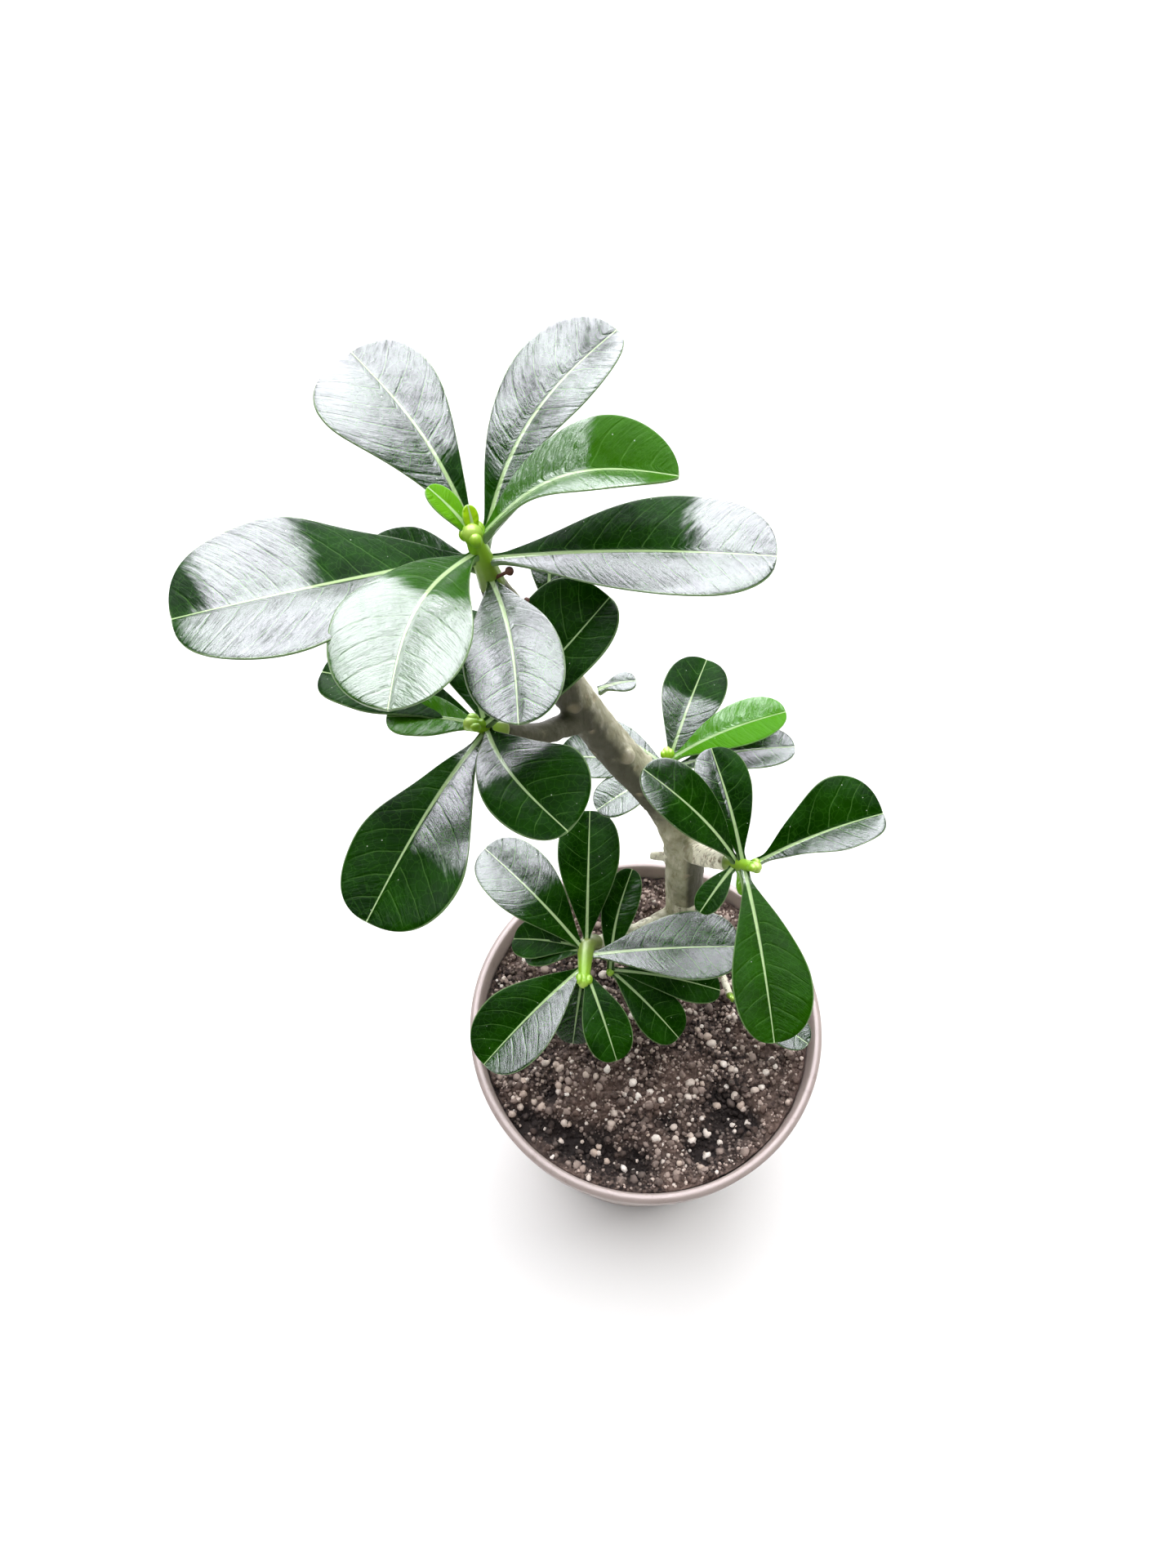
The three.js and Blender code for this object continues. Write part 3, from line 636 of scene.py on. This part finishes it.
# Desert rose leaf: a waxed cuticle over deep green flesh. The wax mirrors the sky in
# soft milky patches that break up on a crepe of fine wrinkles. Its reflection is painted
# leaf by leaf: in dull patches the wax is set thin to leave the reflection out. There the
# flesh shows dark, and the midrib, the side veins and the margin show pale.
leaf_skin, tree, shader = new_material(
    "waxed leaf", IOR=1.48, Specular_IOR_Level=0.02, Coat_Roughness=0.14, Coat_IOR=1.6)
place = add(tree, "ShaderNodeTexCoord", out="Object")
spot = add(tree, "ShaderNodeAttribute", {"attribute_name": "leaf_place"}, out="Vector")
course, out, margin = add(tree, "ShaderNodeSeparateXYZ", inputs={"Vector": spot}).node.outputs
kind = add(tree, "ShaderNodeAttribute", {"attribute_name": "leaf_kind"}, out="Vector")
youth, underside, share = add(tree, "ShaderNodeSeparateXYZ", inputs={"Vector": kind}).node.outputs

# Side veins lie one vein spacing apart, and stray a little from their course.
wander = add(tree, "ShaderNodeTexNoise", inputs={"Vector": place, "Scale": 1 / (14 * MM), "Detail": 2})
strayed = add(tree, "ShaderNodeMath", {"operation": "MULTIPLY_ADD"}, {0: wander, 1: 0.6, 2: course})
to_vein = add(tree, "ShaderNodeMath", {"operation": "PINGPONG"}, {0: strayed, 1: 0.5})
fine_vein = add(tree, "ShaderNodeMapRange", {"interpolation_type": "SMOOTHSTEP"}, {
    "Value": to_vein, "From Min": 0.006, "From Max": 0.04, "To Min": 0.24, "To Max": 0})
inward = add(tree, "ShaderNodeMapRange", inputs={"Value": margin, "From Min": 1 * MM, "From Max": 5 * MM})
vein = add(tree, "ShaderNodeMath", {"operation": "MULTIPLY"}, {0: fine_vein, 1: inward})
rib_width = add(tree, "ShaderNodeMapRange", inputs={
    "Value": share, "From Max": 0.9, "To Min": 0.8 * MM, "To Max": 0.2 * MM})
from_rib = add(tree, "ShaderNodeMath", {"operation": "DIVIDE"}, {0: out, 1: rib_width})
rib = add(tree, "ShaderNodeMapRange", {"interpolation_type": "SMOOTHSTEP"}, {
    "Value": from_rib, "From Min": 0.5, "From Max": 1.1, "To Min": 0.8, "To Max": 0})
net = add(tree, "ShaderNodeTexVoronoi", {"feature": "DISTANCE_TO_EDGE"}, {
    "Vector": place, "Scale": 1 / (2.2 * MM)})
netting = add(tree, "ShaderNodeMapRange", {"interpolation_type": "SMOOTHSTEP"}, {
    "Value": net, "From Max": 0.06, "To Min": 0.12, "To Max": 0})

cloud = add(tree, "ShaderNodeTexNoise", inputs={"Vector": place, "Scale": 1 / (12 * MM), "Detail": 4})
clouding = add(tree, "ShaderNodeMapRange", inputs={"Value": cloud, "From Min": 0.35, "From Max": 0.7})
young = add(tree, "ShaderNodeMapRange", inputs={"Value": youth, "From Max": 0.6})
lime = add(tree, "ShaderNodeMapRange", inputs={"Value": youth, "From Min": 0.6})
pale_back = add(tree, "ShaderNodeMapRange", inputs={"Value": underside, "To Max": 0.75})
thin_edge = add(tree, "ShaderNodeMapRange", {"interpolation_type": "SMOOTHSTEP"}, {
    "Value": margin, "From Min": 0.05 * MM, "From Max": 0.4 * MM,
    "To Min": 0.3, "To Max": 0})
specks = add(tree, "ShaderNodeTexVoronoi", inputs={"Vector": place, "Scale": 1 / (3.4 * MM)})
dust = add(tree, "ShaderNodeMapRange", inputs={
    "Value": specks, "From Min": 0.03, "From Max": 0.055, "To Min": 0.6, "To Max": 0})
# One leaf has a dry orange-brown burn on its edge.
to_burn = add(tree, "ShaderNodeVectorMath", {"operation": "DISTANCE"}, {
    0: place, 1: (-24.9 * MM, 28.6 * MM, POT_HEIGHT + 239 * MM)}, out="Value")
burn = add(tree, "ShaderNodeMapRange", {"interpolation_type": "SMOOTHSTEP"}, {
    "Value": to_burn, "From Min": 0.6 * MM, "From Max": 2.4 * MM,
    "To Min": 0.8, "To Max": 0})
blade = linear("#072600")
for cover, colour in [(clouding, "#153F00"), (young, "#4F9410"), (lime, "#A2D21A"), (pale_back, "#5E8740"),
                      (netting, "#4E8A2E"), (vein, "#6C9E4C"), (rib, "#BCD79C"), (thin_edge, "#A9C98C"),
                      (burn, "#A8692F"), (dust, "#D9E3D2")]:
    blade = add(tree, "ShaderNodeMix", {"data_type": "RGBA"}, {
        0: cover, 6: blade, 7: linear(colour)}, out=2)
tree.links.new(blade, shader.inputs["Base Color"])

smear = add(tree, "ShaderNodeTexNoise", inputs={"Vector": place, "Scale": 1 / (6 * MM), "Detail": 5})
waxy = add(tree, "ShaderNodeMapRange", inputs={
    "Value": smear, "From Min": 0.35, "From Max": 0.75, "To Min": 0.18, "To Max": 0.32})
dull = add(tree, "ShaderNodeMath", {"operation": "MULTIPLY_ADD"}, {0: underside, 1: 0.25, 2: waxy})
tree.links.new(dull, shader.inputs["Roughness"])

# The crepe: wrinkles about 1.1 mm apart that run out from the midrib with the veins,
# over soft swells 7 mm across.
crepe_place = add(tree, "ShaderNodeVectorMath", {"operation": "MULTIPLY"}, {
    0: spot, 1: (VEIN_SPACING / (1.1 * MM), 1 / (4 * MM), 0)})
crepe = add(tree, "ShaderNodeTexNoise", {"noise_dimensions": "4D"}, {
    "Vector": crepe_place, "W": wander, "Scale": 1, "Detail": 5, "Roughness": 0.65})
sunken_veins = add(tree, "ShaderNodeMapRange", {"interpolation_type": "SMOOTHSTEP"}, {
    "Value": to_vein, "From Max": 0.12, "To Max": 0.22})
wrinkled = add(tree, "ShaderNodeMath", {"operation": "ADD"}, {0: crepe, 1: sunken_veins})
ridged = add(tree, "ShaderNodeMath", {"operation": "MULTIPLY_ADD"}, {0: rib, 1: 0.3, 2: wrinkled})
swell = add(tree, "ShaderNodeTexNoise", inputs={"Vector": place, "Scale": 1 / (7 * MM), "Detail": 1})
swelling = add(tree, "ShaderNodeBump", inputs={"Height": swell, "Strength": 0.6, "Distance": 0.9 * MM})
relief = add(tree, "ShaderNodeBump", inputs={
    "Height": ridged, "Strength": 0.9, "Distance": 0.5 * MM, "Normal": swelling})
tree.links.new(relief, shader.inputs["Normal"])
tree.links.new(relief, shader.inputs["Coat Normal"])

# Painted reflection: the wax attribute, thin in the dull patches, sets where the coat mirrors the lights.
# The wax thins out in ragged edges that follow the crepe.
wax = add(tree, "ShaderNodeAttribute", {"attribute_name": "wax"}, out="Fac")
patchy = add(tree, "ShaderNodeMath", {"operation": "MULTIPLY_ADD"}, {0: cloud, 1: 0.8, 2: wax})
ragged = add(tree, "ShaderNodeMath", {"operation": "MULTIPLY_ADD"}, {0: crepe, 1: 1.1, 2: patchy})
waxed = add(tree, "ShaderNodeMapRange", {"interpolation_type": "SMOOTHSTEP"}, {
    "Value": ragged, "From Min": 1.2, "From Max": 1.8, "To Min": 0.01})
tree.links.new(waxed, shader.inputs["Coat Weight"])


def leaf_row(row, taper, blunt):
    """How far along the leaf a row lies and how wide it is there, as shares: a narrow
    wedge up to the broadest place, and a blunt round end beyond it."""
    broadest = 0.5 ** (1 / taper)
    wedge_rows = 0.6
    if row < wedge_rows:
        share = broadest * row / wedge_rows
        return share, math.sin(math.pi * share ** taper) ** 0.65
    turn = math.radians(88.6) * (row - wedge_rows) / (1 - wedge_rows)
    share = broadest + (1 - broadest) * math.sin(turn) ** (2 / blunt)
    return share, math.cos(turn) ** (2 / blunt)


def add_leaf(bm, base, turn, rise, length, width, seed, arch=0.08, sway=0, skew=0, taper=1.8,
             blunt=2.3, fold=12, youth=0, wax=0.85, dull=()):
    """Adds one leaf. Turn and rise give the way from its base to its tip, in degrees, and
    length and width are in mm. Arch and sway bow it up and sideways, as shares of its
    length; skew gives the left half more of the width; taper moves its broadest place
    to the tip, which blunt rounds; fold lifts each half, in degrees. Youth turns it lime,
    and wax is how thickly its wax lies. Each dull patch is a half (1 left, -1 right, 0
    both) and the shares of the length between which the wax is thin."""
    place_of = bm.verts.layers.float_vector["leaf_place"]
    kind_of = bm.verts.layers.float_vector["leaf_kind"]
    wax_of = bm.verts.layers.float["wax"]
    length, width = length * MM, width * MM
    turn, rise, fold = math.radians(turn), math.radians(rise), math.radians(fold)
    heading = Vector((math.cos(turn) * math.cos(rise), math.sin(turn) * math.cos(rise), math.sin(rise)))
    aside = Vector((-math.sin(turn), math.cos(turn), 0))
    up = heading.cross(aside)
    draw = random.Random(seed)
    ripples, start = draw.uniform(1.6, 2.6), draw.uniform(0, math.tau)
    ripple = draw.uniform(0.01, 0.022) * width
    small = length < 20 * MM
    grid = bmesh.ops.create_grid(bm, x_segments=LEAF_ROWS // 2 if small else LEAF_ROWS,
                                 y_segments=LEAF_COLUMNS // 2 if small else LEAF_COLUMNS, size=1)["verts"]
    blade = list({face for vertex in grid for face in vertex.link_faces})
    drawn_out = bmesh.ops.extrude_face_region(bm, geom=blade)["geom"]
    upper = {part for part in drawn_out if isinstance(part, bmesh.types.BMVert)}
    for vertex in list(grid) + list(upper):
        share, outline = leaf_row((vertex.co.x + 1) / 2, taper, blunt)
        half = max(width / 2 * outline, PETIOLE_WIDTH / 2 * (1 - share))
        across = math.copysign(abs(vertex.co.y) ** 1.3, vertex.co.y)
        side_half = half * (1 + math.copysign(skew, across))
        off = abs(across) * side_half
        bow = math.sin(math.pi * share) * length
        lean = math.pi * math.cos(math.pi * share)
        centre = base + heading * share * length + up * arch * bow + aside * sway * bow
        tangent = (heading + up * arch * lean + aside * sway * lean).normalized()
        sideways = (aside - tangent * aside.dot(tangent)).normalized()
        normal = tangent.cross(sideways)
        stalk = max(0, 1 - share / STALK_SHARE)
        rib_ridge = math.exp(-(off / (1 * MM)) ** 2) * (1 - 0.7 * share)
        camber = 0.18 * side_half * abs(across) * (1 - abs(across)) * (1 - stalk)
        wave = math.tau * ripples * share + start + 2 * (across > 0)
        curl = ripple * across ** 2 * math.sin(wave) * (1 - stalk)
        raised = off * math.sin(fold) + camber + curl
        other_side = 0.5 * min(1, max(0, across * side_half / (0.9 * MM)))
        course = (share * length - VEIN_SLANT * off - VEIN_BEND * off ** 2) / VEIN_SPACING + other_side
        quilting = 0.06 * MM * math.sin(math.pi * (course % 1)) * min(1, off / (2 * MM)) * (1 - stalk)
        quilting *= min(1, (side_half - off) / (3 * MM))
        thickness = BLADE_THICKNESS + (PETIOLE_THICKNESS - BLADE_THICKNESS) * stalk * (1 - 0.25 * across ** 2)
        if vertex in upper:
            raised += 0.35 * MM * rib_ridge * (1 - stalk) + quilting
        else:
            raised -= thickness + (RIB_THICKNESS - BLADE_THICKNESS) * rib_ridge
        vertex.co = centre + sideways * math.copysign(off, across) * math.cos(fold) + normal * raised
        vertex[place_of] = (course, off, min(side_half - off, (1 - share) * length))
        vertex[kind_of] = (youth, 0 if vertex in upper else 1, share)
        # The dull patches are painted reflection: the wax is set thin in them.
        lying = wax
        for half_side, first, last in dull:
            if half_side * across >= 0:
                lying *= 1 - clamp(min(share - first, last - share) / PATCH_EDGE + 0.5)
        vertex[wax_of] = lying
    skin = list({face for vertex in list(grid) + list(upper) for face in vertex.link_faces})
    bmesh.ops.recalc_face_normals(bm, faces=skin)


# Foot, elbow and apex of each shoot: x, y and height above the rim, in mm, as its radius
# is. Each leaf: how far below the apex it grows, its turn and rise in degrees, its length
# and width, and what sets it apart.
# Each dull patch in a leaf's traits is painted reflection, a place where its wax is set thin.
SHOOTS = {
    "shoot_top": {
        "foot": (-46.5, 38, 226), "apex": (-49.6, 38, 243), "radius": 3.4,
        "leaves": [
            (7, -157.5, 9, 72, 40, {"arch": 0.05, "sway": 0.03,
             "dull": [(-1, -1, 0.55), (1, -1, 0.2), (-1, 0.93, 2), (1, 0.97, 2)]}),
            (8, 127.5, 28, 57, 31, {"sway": -0.04, "taper": 2.6, "skew": 0.22, "dull": [(-1, -1, 0.42)]}),
            (7, 52.5, 30, 61, 22, {"sway": 0.075, "taper": 2.1, "skew": -0.15, "wax": 0.75,
             "dull": [(1, -1, 0.3)]}),
            (2, -2, 27, 51.5, 23, {"arch": 0.12, "sway": 0.09, "fold": 26, "youth": 0.2, "skew": -0.1,
             "blunt": 1.8, "wax": 1.3, "dull": [(1, 0.62, 2), (1, -1, 0.2), (-1, 0.88, 2)]}),
            (8, -7, 9, 69.5, 31, {"arch": 0.03, "wax": 0.95, "dull": [(1, -1, 0.72)]}),
            (5, -108.5, 8, 52.5, 32, {"sway": -0.08, "youth": 0.1, "wax": 0.95, "dull": [(0, -1, 0.42)]}),
            (14, -79, 2, 44.5, 24, {"sway": 0.04, "wax": 1}),
            (12, 172, 2, 30, 15, {"wax": 0.3}),
            (2, 150, 45, 17, 7, {"youth": 0.65, "wax": 0.1}),
            (1, 110, 70, 9, 4, {"youth": 1, "wax": 0.1}),
        ],
    },
    "shoot_left": {
        "foot": (-46, 21.5, 184), "apex": (-53, 19, 191), "radius": 2.8,
        "leaves": [
            (5, -118, -5, 61, 32, {"taper": 2.2, "skew": 0.18, "dull": [(-1, 0.2, 2), (1, 0.66, 2)]}),
            (4, -58, 12, 43, 28, {"sway": -0.08, "skew": -0.2, "dull": [(0, 0.5, 2), (1, -1, 0.3)]}),
            (5, 178, 8, 27, 14, {"youth": 0.3, "wax": 0.4}),
            (4, 160, 2, 48, 21, {"wax": 0.1}),
            (4, 107, 10, 35, 20, {"wax": 0.2}),
            (3, 20, 48, 53, 30, {"sway": -0.1, "skew": -0.2, "taper": 2.1, "wax": 0.05}),
        ],
    },
    "shoot_back": {
        "foot": (6.5, 57, 89), "apex": (5, 65, 96.6), "radius": 2.6,
        "leaves": [
            (3, 68, 20, 40, 23, {"dull": [(0, 0.62, 2)]}),
            (2, 10, 28, 45, 18, {"youth": 0.5, "wax": 0.5, "dull": [(-1, -1, 2)]}),
            (5, 4, 13, 44.5, 17, {}),
            (5, 148, 6, 32, 10, {}),
            (6, 170, -2, 40, 20, {"wax": 0.6}),
            (6, -149, 0, 30, 16, {}),
        ],
    },
    "shoot_right": {
        "foot": (21.2, 14.5, 115.5), "apex": (28.4, 10, 122), "radius": 2.6,
        "leaves": [
            (6, 152, 42, 47, 20, {"dull": [(0, -1, 0.75)]}),
            (4, 107, 26, 38, 18, {"dull": [(-1, -1, 2), (1, -1, 0.35)]}),
            (1, 15.5, 19, 43.5, 26, {"fold": 25, "taper": 2.2, "skew": -0.2, "dull": [(1, -1, 2)]}),
            (4, -83.5, -6, 56, 24.5, {"taper": 2, "youth": 0.05, "skew": 0.12, "dull": [(0, 0.14, 2)]}),
            (7, -127, -6, 20, 9, {"wax": 0.1}),
            (6, -80, -30, 10, 4, {"youth": 0.7}),
        ],
    },
    "shoot_front": {
        "foot": (-20.5, 19.5, 33), "elbow": (-23.5, 15, 40.5), "apex": (-24.5, 2.5, 41), "radius": 3.3,
        "leaves": [
            (10, 136.5, 15, 54.5, 27, {"dull": [(0, -1, 0.5)]}),
            (12, 88.5, 22, 51.5, 24, {"wax": 0.1}),
            (9, 3, 1, 58, 28, {"arch": 0.04}),
            (5, -134.5, -2, 51.5, 30, {"fold": 22, "dull": [(-1, -1, 2)]}),
            (4, -70.5, -12, 35.5, 18, {"wax": 0.1}),
            (9, -100, -34, 34, 17, {}),
            (11, 178, -14, 24, 13, {"wax": 0.3}),
            (12, 168, -12, 29, 17, {"wax": 0.1}),
        ],
    },
    "shoot_front_lower": {
        "foot": (-14.2, 14, 28.4), "apex": (-14.6, 9, 29.5), "radius": 1.6,
        "leaves": [
            (1, -43, -14, 36, 19, {"wax": 0.1}),
            (1, -8, -9, 43, 17, {"wax": 0.15}),
            (0, 76, 30, 40, 14, {"sway": 0.04, "wax": 0.3}),
        ],
    },
    "shoot_base": {
        "foot": (33.6, 9, 2.5), "apex": (34, 6.5, 6.5), "radius": 1.5,
        "leaves": [
            (1, -37, 10, 35, 16, {}),
        ],
    },
}

# Green shoot skin: soft, juicy and half glossy, olive at its foot, lime at its tip, and
# paler still on the cap of young scales, partly their own pale green and partly a painted highlight.
shoot_skin, tree, shader = new_material("green shoot skin", Roughness=0.35, IOR=1.45)
fresh = add(tree, "ShaderNodeAttribute", {"attribute_name": "fresh"}, out="Fac")
place = add(tree, "ShaderNodeTexCoord", out="Object")
fine = add(tree, "ShaderNodeTexNoise", inputs={"Vector": place, "Scale": 1 / (1.5 * MM), "Detail": 4})
old = add(tree, "ShaderNodeMix", {"data_type": "RGBA"},
          {0: fine, 6: linear("#5B6A2E"), 7: linear("#7F8F45")}, out=2)
shooting = add(tree, "ShaderNodeMix", {"data_type": "RGBA"},
               {0: fresh, 6: old, 7: linear("#8CBF16")}, out=2)
# Painted highlight, over the young scales' own paler green, on the cap of the bud.
pale_cap_and_highlight = add(tree, "ShaderNodeMapRange", inputs={"Value": fresh, "From Min": 1, "From Max": 2})
tipped = add(tree, "ShaderNodeMix", {"data_type": "RGBA"},
             {0: pale_cap_and_highlight, 6: shooting, 7: linear("#C9E070")}, out=2)
tree.links.new(tipped, shader.inputs["Base Color"])
relief = add(tree, "ShaderNodeBump", inputs={"Height": fine, "Strength": 0.3, "Distance": 0.2 * MM})
tree.links.new(relief, shader.inputs["Normal"])


# The growing tip is a bud with three young scales round it: turn, distance from the
# axis and size, the last two as shares of the shoot's radius.
SCALES = [(0, 0, 0.72), (0.4, 0.6, 0.45), (2.5, 0.55, 0.5), (4.6, 0.6, 0.4)]
SCALE_STRETCH = 1.35
TIP_TAPER = 0.6


def blank_leaves():
    """An empty bmesh with the layers that tell a place on a leaf and the leaf's kind."""
    bm = bmesh.new()
    bm.verts.layers.float_vector.new("leaf_place")
    bm.verts.layers.float_vector.new("leaf_kind")
    bm.verts.layers.float.new("wax")
    return bm


def smooth_blades(piece):
    """Rounds off the blades of a finished piece."""
    rounding = piece.modifiers.new("smooth blades", "SUBSURF")
    rounding.levels = 1
    rounding.render_levels = 1


for order, (name, shoot) in enumerate(SHOOTS.items()):
    foot, apex = above_rim(*shoot["foot"]), above_rim(*shoot["apex"])
    elbow = above_rim(*shoot["elbow"]) if "elbow" in shoot else foot
    axis = (apex - elbow).normalized()
    bm = blank_leaves()
    for number, (down, *measures, traits) in enumerate(shoot["leaves"]):
        add_leaf(bm, apex - axis * down * MM, *measures, seed=20 * order + number, **traits)
    leaves = finish_piece(bm, name + "_leaves", leaf_skin)
    smooth_blades(leaves)
    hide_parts(name)

    bm = bmesh.new()
    radius = shoot["radius"]
    points = [(*shoot["foot"], radius)]
    if "elbow" in shoot:
        points.append((*shoot["elbow"], radius))
    points.append((*shoot["apex"], radius * TIP_TAPER))
    add_limb(bm, smooth_course(points, 10), 20)
    upright = axis.to_track_quat("Z", "Y").to_matrix().to_4x4()
    for turn, aside, size in SCALES:
        seat = Vector((aside * math.cos(turn), aside * math.sin(turn), 0.25)) * radius * MM
        place = Matrix.Translation(apex) @ upright @ Matrix.Translation(seat)
        place = place @ Matrix.Diagonal((1, 1, SCALE_STRETCH, 1))
        bmesh.ops.create_icosphere(bm, subdivisions=3, radius=radius * size * MM, matrix=place)
    bmesh.ops.recalc_face_normals(bm, faces=bm.faces)
    fresh_of = bm.verts.layers.float.new("fresh")
    reach = (apex - elbow).length
    for vertex in bm.verts:
        past = (vertex.co - apex).dot(axis) / (radius * MM)
        vertex[fresh_of] = clamp(1.1 - (apex - vertex.co).length / reach) + clamp(past - 0.3)
    finish_piece(bm, name + "_stem", shoot_skin)

# ---- The lone leaves ----------------------------------------------------------------------
# Two small leaves grow by themselves from the upper stem, one on a short red-brown stalk.
# They have the same flesh and wax as the rest, and are made as those are.

# The base of each by height above the rim, its turn and rise, and its length and width.
LONE_LEAVES = {
    "leaf_upper": ((-33.6, 41.1, 208.1), 85, 36, 20, 11),
    "leaf_behind": ((-20.4, 42, 172.6), 8, 12, 11.5, 7),
}
for order, (name, (base, *measures)) in enumerate(LONE_LEAVES.items()):
    bm = blank_leaves()
    add_leaf(bm, above_rim(*base), *measures, seed=200 + order, taper=2)
    blade = finish_piece(bm, name + "_blade", leaf_skin)
    smooth_blades(blade)
    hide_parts(name)

# ---- The stand, the lights and the camera ----------------------------------------------------
# A plain pale floor, a broad window-like light above and behind, weak lights from the
# front and the right, and the camera high in front, looking steeply down on the plant.

floor_paint, tree, shader = new_material("pale matt floor", Roughness=0.9)
shader.inputs["Base Color"].default_value = linear("#F2F1EF")
bm = bmesh.new()
bmesh.ops.create_grid(bm, x_segments=1, y_segments=1, size=4)
mesh = bpy.data.meshes.new("floor")
bm.to_mesh(mesh)
bm.free()
mesh.materials.append(floor_paint)
floor = bpy.data.objects.new("floor", mesh)
bpy.context.scene.collection.objects.link(floor)


def add_softbox(name, place, target, width, height, power, colour):
    """A rectangular soft light that faces a target."""
    light = bpy.data.lights.new(name, "AREA")
    light.shape = "RECTANGLE"
    light.size = width
    light.size_y = height
    light.energy = power
    light.color = linear(colour)[:3]
    box = bpy.data.objects.new(name, light)
    box.location = place
    box.rotation_euler = (Vector(target) - Vector(place)).to_track_quat("-Z", "Y").to_euler()
    bpy.context.scene.collection.objects.link(box)


PLANT_MIDDLE = (0, 0, 0.25)
add_softbox("window", (-0.2, 0.5, 1.75), PLANT_MIDDLE, 2.4, 2.2, 58, "#FBFCFF")
add_softbox("fill", (-0.6, -1.3, 0.9), PLANT_MIDDLE, 1.6, 1.2, 3, "#FFFFFF")
add_softbox("side", (1.2, 0.6, 0.9), PLANT_MIDDLE, 1.0, 1.0, 9, "#FFFFFF")
for name in ("window", "fill", "side"):
    bpy.data.objects[name].visible_glossy = False

# Panes that show only in the gloss of the leaves, as a bright ceiling and window do.
add_softbox("ceiling pane", (-0.15, 0.6, 1.0), (-0.15, 0.6, 0), 1.2, 1.4, 98, "#F5F3FF")
add_softbox("far pane", (-0.1, 1.35, 0.5), (-0.1, 0, 0.5), 1.8, 1.0, 58, "#F5F3FF")
for name in ("ceiling pane", "far pane"):
    bpy.data.objects[name].visible_diffuse = False
    bpy.data.objects[name].visible_camera = False

# The room is lightest on the window's side, dim in gloss, and white to the camera.
world = bpy.data.worlds.new("pale room")
world.use_nodes = True
room = world.node_tree
room.nodes["Background"].inputs["Color"].default_value = linear("#FFFFFF")
way = add(room, "ShaderNodeTexCoord", out="Generated")
far = add(room, "ShaderNodeSeparateXYZ", inputs={"Vector": way}, out="Y")
glow = add(room, "ShaderNodeMapRange", {"interpolation_type": "SMOOTHSTEP"}, {
    "Value": far, "From Min": -0.4, "From Max": 0.7, "To Min": 0.12, "To Max": 0.8})
ray = add(room, "ShaderNodeLightPath").node.outputs
dimmed = add(room, "ShaderNodeMapRange", inputs={
    "Value": ray["Is Glossy Ray"], "To Min": glow, "To Max": 0.02})
seen = add(room, "ShaderNodeMapRange", inputs={"Value": ray["Is Camera Ray"], "To Min": dimmed})
room.links.new(seen, room.nodes["Background"].inputs["Strength"])
bpy.context.scene.world = world

# How far below the horizon the camera looks, in degrees.
CAMERA_DROP = 61
camera = bpy.data.cameras.new("camera")
camera.lens = 27
camera.sensor_width = 36
camera.clip_start = 0.01
viewer = bpy.data.objects.new("camera", camera)
viewer.location = (-23 * MM, -145.1 * MM, POT_HEIGHT + 454.65 * MM)
viewer.rotation_euler = (math.radians(90 - CAMERA_DROP), 0, 0)
bpy.context.scene.collection.objects.link(viewer)
bpy.context.scene.camera = viewer
bpy.context.scene.view_settings.view_transform = "Standard"
